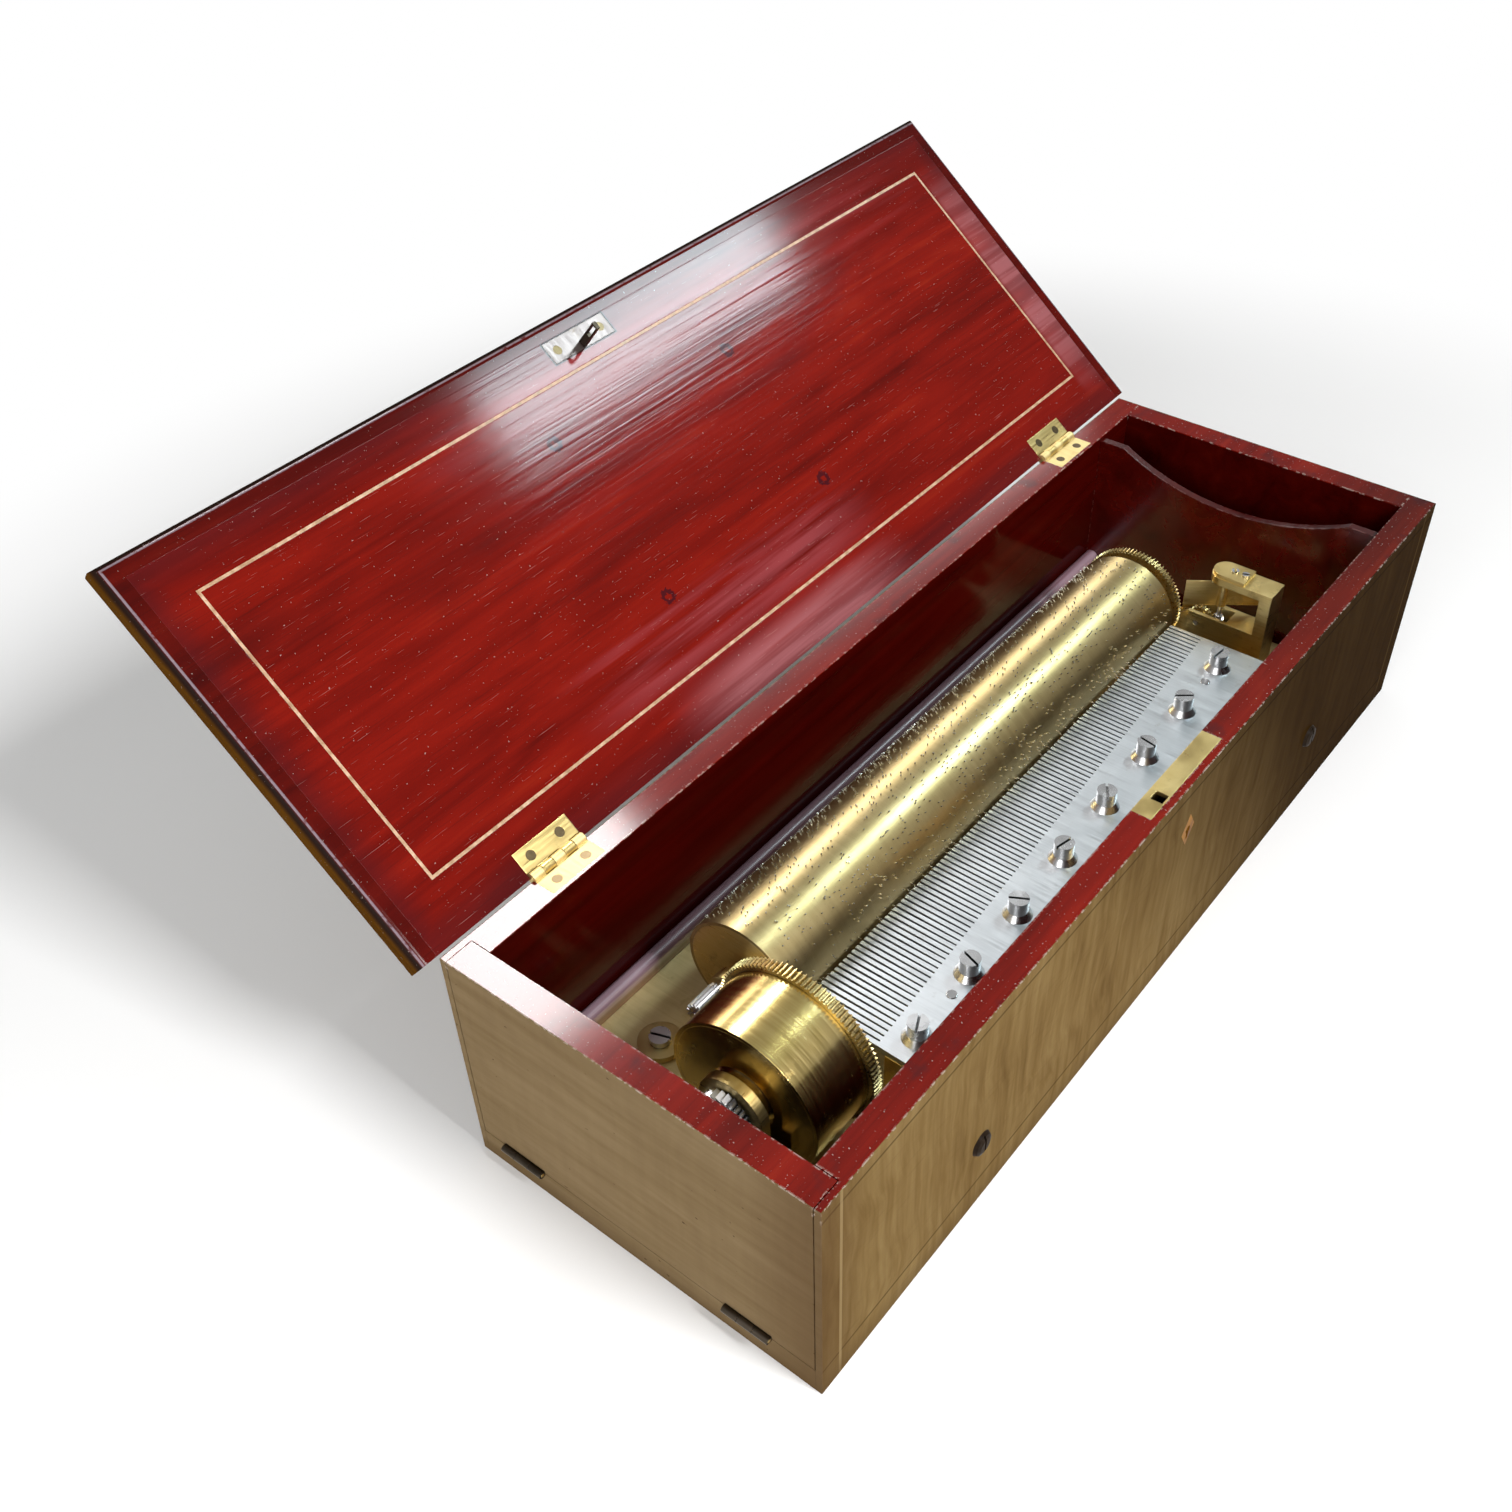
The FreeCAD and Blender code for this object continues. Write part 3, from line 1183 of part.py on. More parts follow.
def make_cocks():
    make_cock("cylinder_cock_left", "cylinder_cock_left", "cylinder_y", "cylinder_z",
              "arbor_radius + running_fit")
    make_cock("cylinder_cock_right", "cylinder_cock_right", "cylinder_y", "cylinder_z",
              "arbor_radius + running_fit")
    make_cock("barrel_cock_right", "barrel_cock_right", "barrel_y", "barrel_z",
              "winding_arbor_radius + running_fit")
    make_barrel_cock()
    screws = []
    for index, spot in enumerate(cock_screw_spots()):
        screws.append(slotted_screw("cock_screw_%d" % index, "cock_screw_head", "cock_screw_height",
                                    "cock_screw_shank", "cock_screw_length", spot,
                                    slot_turn(COCK_SLOTS, index)))
    seat = "bed_top + 2 * lever_gap + lever_thickness"
    screws.append(slotted_screw("lever_screw", "lever_screw_head", "lever_screw_height", "lever_stud",
                                "lever_thickness + 2 * lever_gap + bed_thickness",
                                ("lever_x", "lever_y", seat), LEVER_SLOT))
    node("cock_screws", group("cock_screws", screws))


# Pinned cylinder and its arbor

def make_cylinder():
    inside = "cylinder_radius - cylinder_wall"
    bore = "arbor_radius + running_fit"
    tube = turned("cylinder_tube",
                  [(0, inside), ("cylinder_length", inside),
                   ("cylinder_length", "cylinder_radius"), (0, "cylinder_radius")],
                  ("cylinder_left", "cylinder_y", "cylinder_z"))
    node("cylinder_tube", tube)
    caps = []
    for side, x in (("left", "cylinder_left"), ("right", "cylinder_right - end_cap_thickness")):
        caps.append(turned("end_cap_" + side,
                           [(0, bore), ("end_cap_thickness", bore), ("end_cap_thickness", inside), (0, inside)],
                           (x, "cylinder_y", "cylinder_z")))
    node("cylinder_end_caps", group("cylinder_end_caps", caps))
    node("cylinder_arbor", rod("cylinder_arbor", "arbor_radius", "arbor_right - arbor_left",
                               ("arbor_left", "cylinder_y", "cylinder_z"), "x"))

    to_pinion = bearing(size("barrel_y"), size("barrel_z"), size("cylinder_y"), size("cylinder_z"))
    leaves = int(size("drive_pinion_teeth"))
    pinion_ring = tooth_ring(leaves, size("drive_module"), meshing_phase(to_pinion, leaves))
    axis = (size("cylinder_y"), size("cylinder_z"))
    node("drive_pinion", toothed_wheel("drive_pinion", pinion_ring, size("drive_pinion_width"),
                                       size("arbor_radius"), (size("drive_pinion_x"),) + axis))
    to_first = bearing(size("cylinder_y"), size("cylinder_z"), size("first_y"), size("first_z"))
    gear_ring = tooth_ring(int(size("great_gear_teeth")), size("great_gear_module"), to_first)
    rim = toothed_wheel("great_gear_rim", gear_ring, size("great_gear_width"), size("arbor_radius"),
                        (size("great_gear_x"),) + axis)
    hub = turned("great_gear_hub",
                 [(0, "arbor_radius"), ("great_gear_hub_length", "arbor_radius"),
                  ("great_gear_hub_length", "great_gear_hub"), (0, "great_gear_hub")],
                 ("great_gear_x - great_gear_hub_length", "cylinder_y", "cylinder_z"))
    node("great_gear", fuse("great_gear", [rim, hub]))


# Spring barrel

def make_barrel():
    axis = (size("barrel_y"), size("barrel_z"))
    to_pinion = bearing(size("barrel_y"), size("barrel_z"), size("cylinder_y"), size("cylinder_z"))
    ring = tooth_ring(int(size("barrel_wheel_teeth")), size("drive_module"), to_pinion)
    node("barrel_wheel", toothed_wheel("barrel_wheel", ring, size("barrel_wheel_width"),
                                       size("winding_arbor_radius") + size("running_fit"),
                                       (size("barrel_wheel_x"),) + axis))
    node("barrel_drum", turned("barrel_drum",
                               [(0, "drum_radius - drum_wall"), ("drum_length", "drum_radius - drum_wall"),
                                ("drum_length", "drum_radius"), (0, "drum_radius")],
                               ("drum_left", "barrel_y", "barrel_z")))
    node("barrel_cover", turned("barrel_cover",
                                [("-cover_hub_height", "winding_arbor_radius + running_fit"),
                                 ("cover_thickness", "winding_arbor_radius + running_fit"),
                                 ("cover_thickness", "drum_radius - drum_wall"),
                                 (0, "drum_radius - drum_wall"), (0, "cover_hub_radius"),
                                 ("-cover_hub_height", "cover_hub_radius - cover_hub_height")],
                                ("drum_left", "barrel_y", "barrel_z")))
    spring_left = "drum_left + (drum_length + cover_thickness - mainspring_width) / 2"
    node("mainspring", turned("mainspring",
                              [(0, "mainspring_core"), ("mainspring_width", "mainspring_core"),
                               ("mainspring_width", "drum_radius - drum_wall - mainspring_gap"),
                               (0, "drum_radius - drum_wall - mainspring_gap")],
                              (spring_left, "barrel_y", "barrel_z")))


def ratchet_ring():
    teeth = int(size("ratchet_teeth"))
    outer = size("ratchet_radius")
    root = outer - size("ratchet_depth")
    step = 2 * math.pi / teeth
    points = []
    for tooth in range(teeth):
        angle = tooth * step
        points.append((root * math.cos(angle), root * math.sin(angle)))
        angle = angle + 0.03 * step
        points.append((outer * math.cos(angle), outer * math.sin(angle)))
    return points


def make_winder():
    square_end = "winding_square_end"
    shaft = rod("winding_shaft", "winding_arbor_radius", "winding_arbor_right - ratchet_x",
                ("ratchet_x", "barrel_y", "barrel_z"), "x")
    square = block("winding_square_bar", ("ratchet_x - (%s)" % square_end, "winding_square", "winding_square"),
                   (square_end, "barrel_y - winding_square / 2", "barrel_z - winding_square / 2"))
    node("winding_arbor", fuse("winding_arbor", [shaft, square]))
    node("ratchet_wheel", toothed_wheel("ratchet_wheel", ratchet_ring(), size("ratchet_width"),
                                        size("winding_arbor_radius"),
                                        (size("ratchet_x"), size("barrel_y"), size("barrel_z"))))


def make_click():
    inner = "-click_arm_width / 2"
    outer = "click_arm_width / 2"
    top = "click_drop - click_top_gap"
    nose = "ratchet_depth + click_arm_gap - click_nose_gap"
    outline = [(inner, 0), (outer, 0), (outer, "%s - click_slope" % top), ("%s - click_chamfer" % outer, top),
               ("%s - (%s)" % (inner, nose), top), (inner, "%s - (%s) - click_nose_rake" % (top, nose))]
    arm = padded("click_arm", "YZ_Plane", outline, "ratchet_width", ("ratchet_x", "click_y", "click_z"))
    boss = rod("click_round", "click_boss", "ratchet_width", ("ratchet_x", "click_y", "click_z"), "x")
    hole = rod("click_hole", "click_stud_radius + running_fit", "ratchet_width",
               ("ratchet_x", "click_y", "click_z"), "x")
    node("click", cut("click", fuse("click_blank", [arm, boss]), [hole]))

    strip = "click_boss + click_spring_gap / 2"
    side = "click_arm_width / 2 + click_spring_gap"
    tail = "-click_boss - click_spring_tail"
    tip = "click_boss + click_spring_tip"
    outline = [(strip, tail), ("%s + click_spring_thickness" % strip, tail),
               ("%s + click_spring_thickness" % strip, "click_boss + click_spring_bend"),
               ("%s + click_spring_thickness" % side, tip), (side, "%s - click_spring_tip_slope" % tip),
               (strip, "click_boss")]
    leaf = padded("click_spring_leaf", "YZ_Plane", outline, "ratchet_width",
                  ("ratchet_x", "click_y", "click_z"))
    anchor = block("click_spring_anchor",
                   ("axial_gap", "click_spring_thickness + click_spring_anchor", "click_spring_anchor_height"),
                   ("ratchet_x + ratchet_width", "click_y + %s - click_spring_anchor" % strip,
                    "click_z - click_boss - click_spring_tail"))
    node("click_spring", fuse("click_spring", [leaf, anchor]))


# Governor

def make_governor_frame():
    front = "governor_front"
    inner = "governor_front + governor_pillar"
    outline = [(front, "bed_top"), ("governor_back", "bed_top"), ("governor_back", "governor_ear_top"),
               ("second_y + governor_shoulder", "governor_platform"), (inner, "governor_platform"),
               (inner, "governor_arm_bottom"), ("worm_y", "governor_arm_bottom"),
               ("worm_y", "governor_arm_top"), (front, "governor_arm_top")]
    frame = padded("governor_block", "YZ_Plane", outline, "governor_width", ("governor_left", 0, 0))
    nose = rod("governor_nose", "governor_width / 2", "governor_arm_height",
               ("governor_x", "worm_y", "governor_arm_bottom"))
    foot = block("governor_foot", ("governor_foot_length", "governor_foot_depth", "cock_foot_height"),
                 ("governor_left - governor_foot_length", front, "bed_top"))
    slot = block("governor_slot",
                 ("governor_width - 2 * governor_cheek", "governor_back - governor_slot_front",
                  "governor_platform - bed_top - governor_floor"),
                 ("governor_left + governor_cheek", "governor_slot_front", "bed_top + governor_floor"))
    bores = [rod("first_bore", "train_arbor_radius + running_fit", "governor_width",
                 ("governor_left", "first_y", "first_z"), "x"),
             rod("second_bore", "train_arbor_radius + running_fit", "governor_width",
                 ("governor_left", "second_y", "second_z"), "x"),
             rod("worm_bore", "worm_shaft_radius + running_fit",
                 "governor_arm_top - bed_top - governor_floor / 2",
                 ("governor_x", "worm_y", "bed_top + governor_floor / 2"))]
    blank = fuse("governor_blank", [frame, nose, foot])
    holes = cock_screw_holes("governor") + cap_screw_holes("governor")
    node("governor_frame", cut("governor_frame", blank, [slot] + bores + holes))

    plate = block("cap_plate",
                  ("governor_width - 2 * governor_cap_margin", "governor_cap_length", "governor_cap_height"),
                  ("governor_left + governor_cap_margin", "worm_y - governor_cap_length", "governor_arm_top"))
    end = rod("cap_end", "governor_width / 2 - governor_cap_margin", "governor_cap_height",
              ("governor_x", "worm_y", "governor_arm_top"))
    node("governor_cap", cut("governor_cap", fuse("cap_blank", [plate, end]), cap_screw_holes("cap")))
    screws = []
    for index, spot in enumerate(cap_screw_spots()):
        screws.append(slotted_screw("cap_screw_%d" % index, "cap_screw_head", "cap_screw_height",
                                    "cap_screw_shank", "cap_screw_length", spot,
                                    slot_turn(CAP_SLOTS, index)))
    node("governor_cap_screws", group("governor_cap_screws", screws))


def cap_screw_spots():
    top = "governor_arm_top + governor_cap_height"
    return [("governor_x", "worm_y - cap_screw_near", top), ("governor_x", "worm_y - cap_screw_far", top)]


def cap_screw_holes(name):
    return [hole_of("%s_cap_hole_%d" % (name, index), "cap_screw_shank", "cap_screw_length", spot)
            for index, spot in enumerate(cap_screw_spots())]


def make_train():
    first_axis = (size("first_y"), size("first_z"))
    second_axis = (size("second_y"), size("second_z"))
    right = "governor_left + governor_width"
    shaft = "train_arbor_radius"
    to_first = bearing(size("cylinder_y"), size("cylinder_z"), *first_axis)
    leaves = int(size("first_pinion_teeth"))
    ring = tooth_ring(leaves, size("great_gear_module"), meshing_phase(to_first, leaves))
    pinion = toothed_wheel("first_pinion", ring, size("first_pinion_width"), 0,
                           (size("first_pinion_x"),) + first_axis)
    stem = rod("first_stem", shaft, "%s - first_pinion_x" % right,
               ("first_pinion_x", "first_y", "first_z"), "x")
    node("first_arbor", fuse("first_arbor", [pinion, stem]))

    to_second = bearing(*first_axis, *second_axis)
    ring = tooth_ring(int(size("first_wheel_teeth")), size("second_module"), to_second)
    node("first_wheel", toothed_wheel("first_wheel", ring, size("first_wheel_width"),
                                      size("train_arbor_radius"), (size("first_wheel_x"),) + first_axis))

    leaves = int(size("second_pinion_teeth"))
    ring = tooth_ring(leaves, size("second_module"), meshing_phase(to_second, leaves))
    margin = size("pinion_margin")
    pinion = toothed_wheel("second_pinion", ring, size("first_wheel_width") + 2 * margin, 0,
                           (size("first_wheel_x") - margin,) + second_axis)
    stem = rod("second_stem", shaft, "governor_width", ("governor_left", "second_y", "second_z"), "x")
    node("second_arbor", fuse("second_arbor", [pinion, stem]))

    teeth = int(size("worm_wheel_teeth"))
    ring = tooth_ring(teeth, size("worm_wheel_module"), 180 + 180 / teeth, root_share=0.25, tip_share=0.08)
    node("worm_wheel", toothed_wheel("worm_wheel", ring, size("worm_wheel_width"), size("train_arbor_radius"),
                                     (size("governor_x") - size("worm_wheel_width") / 2,) + second_axis))


def worm_shape():
    """A shaft with one raised thread, whose crest faces the wheel at the wheel's own height."""
    pitch = math.pi * size("worm_wheel_module")
    core = size("worm_pitch_radius") - size("worm_wheel_module")
    crest = size("worm_pitch_radius") + 0.75 * size("worm_wheel_module")
    turns = int(size("worm_thread_length") / pitch)
    length = turns * pitch
    helix = Part.Wire(Part.makeLongHelix(pitch, length, core))
    half = 0.26 * pitch
    sunk = core - 0.2
    profile = Part.makePolygon([Vector(sunk, 0, -half), Vector(crest, 0, -0.07 * pitch),
                                Vector(crest, 0, 0.07 * pitch), Vector(sunk, 0, half), Vector(sunk, 0, -half)])
    thread = helix.makePipeShell([profile], True, True)
    middle = (size("worm_thread_bottom") - size("second_z")) / pitch
    start = round(middle) * pitch + size("second_z")
    thread.rotate(Vector(), Vector(0, 0, 1), 90)
    thread.translate(Vector(0, 0, start))
    body = Part.makeCylinder(core, length + pitch, Vector(0, 0, start - pitch / 2))
    bottom = size("bed_top") + size("governor_floor") / 2
    shaft = Part.makeCylinder(size("worm_shaft_radius"), size("governor_arm_top") - bottom,
                              Vector(0, 0, bottom))
    return body.fuse([thread, shaft]).removeSplitter()


def make_worm():
    screw = solid("endless_screw", worm_shape())
    screw.Placement = FreeCAD.Placement(Vector(size("governor_x"), size("worm_y"), 0), FreeCAD.Rotation())
    node("endless_screw", screw)
    wing = block("fan_wing", ("fan_thickness", "2 * fan_radius", "fan_height"),
                 ("-fan_thickness / 2", "-fan_radius", 0))
    hub = rod("fan_hub", "fan_hub_radius", "fan_height", (0, 0, 0))
    hole = rod("fan_hole", "worm_shaft_radius", "fan_height", (0, 0, 0))
    fan = cut("fan", fuse("fan_blank", [wing, hub]), [hole])
    fan.Placement = FreeCAD.Placement(Vector(), FreeCAD.Rotation(Vector(0, 0, 1), size("fan_turn_angle")))
    node("fan", put(fan, ("governor_x", "worm_y", "fan_bottom")))


# Start lever

def make_lever():
    bottom = "bed_top + lever_gap"
    arm = block("lever_arm", ("lever_handle", "lever_width", "lever_thickness"),
                ("lever_x - lever_handle", "lever_y - lever_width / 2", bottom))
    disc = rod("lever_disc", "lever_round", "lever_thickness", ("lever_x", "lever_y", bottom))
    grip = rod("lever_grip", "lever_width / 2", "lever_thickness + lever_grip_height",
               ("lever_x - lever_handle", "lever_y", bottom))
    hole = rod("lever_hole", "lever_stud + running_fit", "lever_thickness", ("lever_x", "lever_y", bottom))
    node("start_lever", cut("start_lever", fuse("lever_blank", [arm, disc, grip]), [hole]))


def check_and_write():
    doc.recompute()
    faults = []
    for thing in doc.Objects:
        if "Invalid" in thing.State or "Error" in thing.State:
            faults.append("%s is %s" % (thing.Name, thing.State))
    for thing in nodes:
        if thing.Shape.isNull() or not thing.Shape.isValid() or not thing.Shape.Solids:
            faults.append("%s has no valid solid" % thing.Label)
    if faults:
        raise RuntimeError("; ".join(faults))
    os.makedirs("parts", exist_ok=True)
    for thing in nodes:
        thing.Shape.exportStep(os.path.join("parts", thing.Label + ".step"))
        print("%-20s %3d solids %10.1f mm3" % (thing.Label, len(thing.Shape.Solids), thing.Shape.Volume))


fill_sheet()
make_case()
make_escutcheon()
make_bed_screws()
make_case_hinges()
make_lid()
make_lock()
make_flap()
make_comb()
make_bed()
make_cocks()
make_cylinder()
make_barrel()
make_winder()
make_click()
make_governor_frame()
make_train()
make_worm()
make_lever()
check_and_write()
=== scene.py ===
# Looks of the wind-up music box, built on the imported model. Metres, +Z up.
import json
import math
import random

import bmesh
import bpy
from mathutils import Matrix, Vector


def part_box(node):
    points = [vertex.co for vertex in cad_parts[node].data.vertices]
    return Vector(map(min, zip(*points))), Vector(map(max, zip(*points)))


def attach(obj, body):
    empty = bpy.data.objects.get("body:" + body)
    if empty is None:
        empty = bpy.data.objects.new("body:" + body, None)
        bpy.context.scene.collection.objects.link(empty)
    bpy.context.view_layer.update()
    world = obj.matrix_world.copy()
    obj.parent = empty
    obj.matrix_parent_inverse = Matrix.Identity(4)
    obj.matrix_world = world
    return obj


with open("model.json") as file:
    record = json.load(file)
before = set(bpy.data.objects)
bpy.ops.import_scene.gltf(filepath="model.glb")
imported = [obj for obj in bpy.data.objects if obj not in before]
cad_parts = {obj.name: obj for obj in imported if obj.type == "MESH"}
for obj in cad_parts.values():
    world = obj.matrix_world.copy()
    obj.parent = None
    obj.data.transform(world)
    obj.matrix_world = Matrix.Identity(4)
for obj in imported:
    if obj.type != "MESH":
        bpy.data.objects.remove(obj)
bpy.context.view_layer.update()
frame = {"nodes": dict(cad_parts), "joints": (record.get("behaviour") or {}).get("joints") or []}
scene = bpy.context.scene
nodes = frame["nodes"]
joints = {joint["name"]: joint for joint in frame["joints"]}


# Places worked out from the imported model

HINGE = Vector(joints["lid_hinge"]["pos_m"])
LID_ANGLE = math.radians(-joints["lid_hinge"]["range_deg"][0])
SHUT_TURN = Matrix.Rotation(LID_ANGLE, 3, "X")


def shut_box(name):
    """Lowest and highest corners of a lid piece, as if the lid were shut."""
    points = [HINGE + SHUT_TURN @ (corner.co - HINGE) for corner in nodes[name].data.vertices]
    low = Vector(min(point[axis] for point in points) for axis in range(3))
    high = Vector(max(point[axis] for point in points) for axis in range(3))
    return low, high


CASE_HALF_LENGTH, CASE_HALF_DEPTH, CASE_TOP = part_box("back_wall")[1]
BATTEN_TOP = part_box("rear_batten")[1].z
LID_UNDERSIDE = shut_box("lid_panel")[0].z
LID_OUTSIDE = shut_box("lid_panel")[1].z
CYLINDER_AXIS = Vector(joints["cylinder_spin"]["pos_m"])
CYLINDER_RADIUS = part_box("cylinder_tube")[1].y - CYLINDER_AXIS.y
COMB_TEETH = 104
COMB_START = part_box("comb")[0].x
COMB_PITCH = (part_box("comb")[1].x - COMB_START) / COMB_TEETH

# Pins of the tunes: each tooth of the comb reads one of eight tracks
TRACKS = 8
TRACK_STEP = 0.00032
PINS_PER_TOOTH = 30
PIN_SIDES = 6
PIN_RADIUS = 0.00028
PIN_HEIGHT = 0.00085
PIN_ROOT = 0.0002

# Old tack scars on the lid: place along the lid and distance from the hinges
TACK_SCARS = ((0.0486, 0.1329), (0.0459, 0.058), (-0.0664, 0.0565), (-0.0632, 0.1374))
SCAR_RADIUS = 0.0045

# Camera at the photograph's viewing angle
CAMERA_PLACE = (-0.4765, -0.2600, 0.5685)
CAMERA_FORWARD = Vector((0.56785, 0.48048, -0.66835))
CAMERA_RIGHT = Vector((0.62477, -0.78022, -0.03009))
CAMERA_UP = Vector((0.53592, 0.40048, 0.74324))
SENSOR_WIDTH = 36
LENS = 38.746

# Where the dark, middle and light tone of a surface sit in its noise
TONE_STOPS = (0.3, 0.5, 0.7)
# Roughness of fresh red polish, from its smooth to its dull spots
POLISH_SMOOTH = 0.13
POLISH_DULL = 0.19


# A short way to build a material

class Look:
    """A material under construction; a value may be a number, a colour or another node's output."""

    def __init__(self, name):
        self.material = bpy.data.materials.new(name)
        self.material.use_nodes = True
        self.tree = self.material.node_tree
        self.shader = self.tree.nodes["Principled BSDF"]
        self.place = self.node("ShaderNodeTexCoord").outputs["Object"]

    def node(self, kind, **settings):
        """A new node of the material, with its settings."""
        made = self.tree.nodes.new(kind)
        for key, value in settings.items():
            setattr(made, key, value)
        return made

    def feed(self, socket, value):
        """Link an output to a socket, or set the socket to a number or a colour."""
        if isinstance(value, bpy.types.NodeSocket):
            self.tree.links.new(value, socket)
        elif isinstance(value, tuple) and len(value) == 3 and socket.type == "RGBA":
            socket.default_value = value + (1,)
        else:
            socket.default_value = value

    def set(self, **values):
        """Feed the shader's sockets, named with underscores for spaces."""
        for key, value in values.items():
            self.feed(self.shader.inputs[key.replace("_", " ")], value)

    def maths(self, operation, first, second=0.0):
        """One sum, product or other operation on two values."""
        made = self.node("ShaderNodeMath", operation=operation)
        self.feed(made.inputs[0], first)
        self.feed(made.inputs[1], second)
        return made.outputs[0]

    def both(self, first, second):
        """Where two masks overlap, or the product of two values."""
        return self.maths("MULTIPLY", first, second)

    def either(self, first, second):
        """Where one of two masks is set, or the larger of two values."""
        return self.maths("MAXIMUM", first, second)

    def weighed(self, first, first_share, second, second_share):
        """The sum of two values, each times its share."""
        return self.maths("ADD", self.both(first, first_share), self.both(second, second_share))

    def length(self, first, second):
        """The distance from the origin to a point of a plane."""
        return self.maths("SQRT", self.maths("ADD", self.both(first, first), self.both(second, second)))

    def mix(self, share, first, second, blend="MIX"):
        """Two colours mixed by a share."""
        made = self.node("ShaderNodeMix", data_type="RGBA", blend_type=blend)
        self.feed(made.inputs["Factor"], share)
        self.feed(made.inputs["A"], first)
        self.feed(made.inputs["B"], second)
        return made.outputs["Result"]

    def tinted(self, colour, tint):
        """A colour multiplied by another."""
        return self.mix(1.0, colour, tint, "MULTIPLY")

    def laid(self, mask, strength, colour, over):
        """A colour with another laid over it where the mask is 1, as strongly as asked."""
        return self.mix(self.both(mask, strength), colour, over)

    def stretched(self, scale, turn=(0, 0, 0), shift=(0, 0, 0), place=None):
        """Coordinates scaled, turned and shifted, for grain that runs one way."""
        made = self.node("ShaderNodeMapping")
        self.feed(made.inputs["Vector"], place or self.place)
        made.inputs["Scale"].default_value = scale
        made.inputs["Rotation"].default_value = turn
        made.inputs["Location"].default_value = shift
        return made.outputs[0]

    def noise(self, place, detail=4.0, roughness=0.55, distortion=0.0):
        """Seamless noise about 0.5, as fine as the coordinates are scaled."""
        made = self.node("ShaderNodeTexNoise")
        self.feed(made.inputs["Vector"], place)
        made.inputs["Scale"].default_value = 1.0
        made.inputs["Detail"].default_value = detail
        made.inputs["Roughness"].default_value = roughness
        made.inputs["Distortion"].default_value = distortion
        return made.outputs["Fac"]

    def between(self, value, low, high, start=0.0, end=1.0):
        """From start to end as the value goes from low to high, smoothly."""
        made = self.node("ShaderNodeMapRange", interpolation_type="SMOOTHSTEP")
        self.feed(made.inputs["Value"], value)
        made.inputs["From Min"].default_value = low
        made.inputs["From Max"].default_value = high
        made.inputs["To Min"].default_value = start
        made.inputs["To Max"].default_value = end
        return made.outputs[0]

    def near(self, value, middle, half, soft):
        """1 where the value lies within half of the middle, falling to 0 over soft."""
        away = self.maths("ABSOLUTE", self.maths("SUBTRACT", value, middle))
        return self.between(away, half, half + soft, 1.0, 0.0)

    def ramp(self, value, stops):
        """Colours at given places of a value, blended between."""
        made = self.node("ShaderNodeValToRGB")
        points = made.color_ramp.elements
        while len(points) < len(stops):
            points.new(0.5)
        for point, (where, colour) in zip(points, stops):
            point.position = where
            point.color = colour + (1,)
        self.feed(made.inputs[0], value)
        return made.outputs["Color"]

    def toned(self, value, tones):
        """A dark, a middle and a light tone spread over a noise."""
        return self.ramp(value, list(zip(TONE_STOPS, tones)))

    def parts(self, place=None):
        """The x, y and z of a place."""
        made = self.node("ShaderNodeSeparateXYZ")
        self.feed(made.inputs[0], place or self.place)
        return made.outputs[0], made.outputs[1], made.outputs[2]

    def soft_edges(self, radius):
        """The surface direction, as if sharp edges were rounded."""
        made = self.node("ShaderNodeBevel", samples=4)
        made.inputs["Radius"].default_value = radius
        return made.outputs[0]

    def edge_share(self, radius):
        """How near the surface is to a sharp edge, from 0 to about 1."""
        rounded = self.soft_edges(radius)
        flat = self.node("ShaderNodeNewGeometry").outputs["Normal"]
        turn = self.node("ShaderNodeVectorMath", operation="DOT_PRODUCT")
        self.feed(turn.inputs[0], rounded)
        self.feed(turn.inputs[1], flat)
        return self.between(self.maths("SUBTRACT", 1.0, turn.outputs["Value"]), 0.004, 0.12)

    def hollows(self, reach):
        """1 in narrow slots and between teeth, 0 on open faces."""
        made = self.node("ShaderNodeAmbientOcclusion", samples=6)
        made.inputs["Distance"].default_value = reach
        return self.between(made.outputs["AO"], 0.35, 0.8, 1.0, 0.0)

    def relief(self, height, strength, distance, radius=0.0):
        """Fine relief from a height, over edges rounded by a radius."""
        made = self.node("ShaderNodeBump")
        made.inputs["Strength"].default_value = strength
        made.inputs["Distance"].default_value = distance
        self.feed(made.inputs["Height"], height)
        if radius:
            self.feed(made.inputs["Normal"], self.soft_edges(radius))
        self.feed(self.shader.inputs["Normal"], made.outputs[0])


def shut_lid_place(look):
    """Coordinates of a lid piece as if the lid were shut."""
    shift = HINGE - SHUT_TURN @ HINGE
    return look.stretched((1, 1, 1), (LID_ANGLE, 0, 0), tuple(shift))


# Woods

def darkened(colour, share):
    """A colour times a share, worked out here."""
    return tuple(part * share for part in colour)


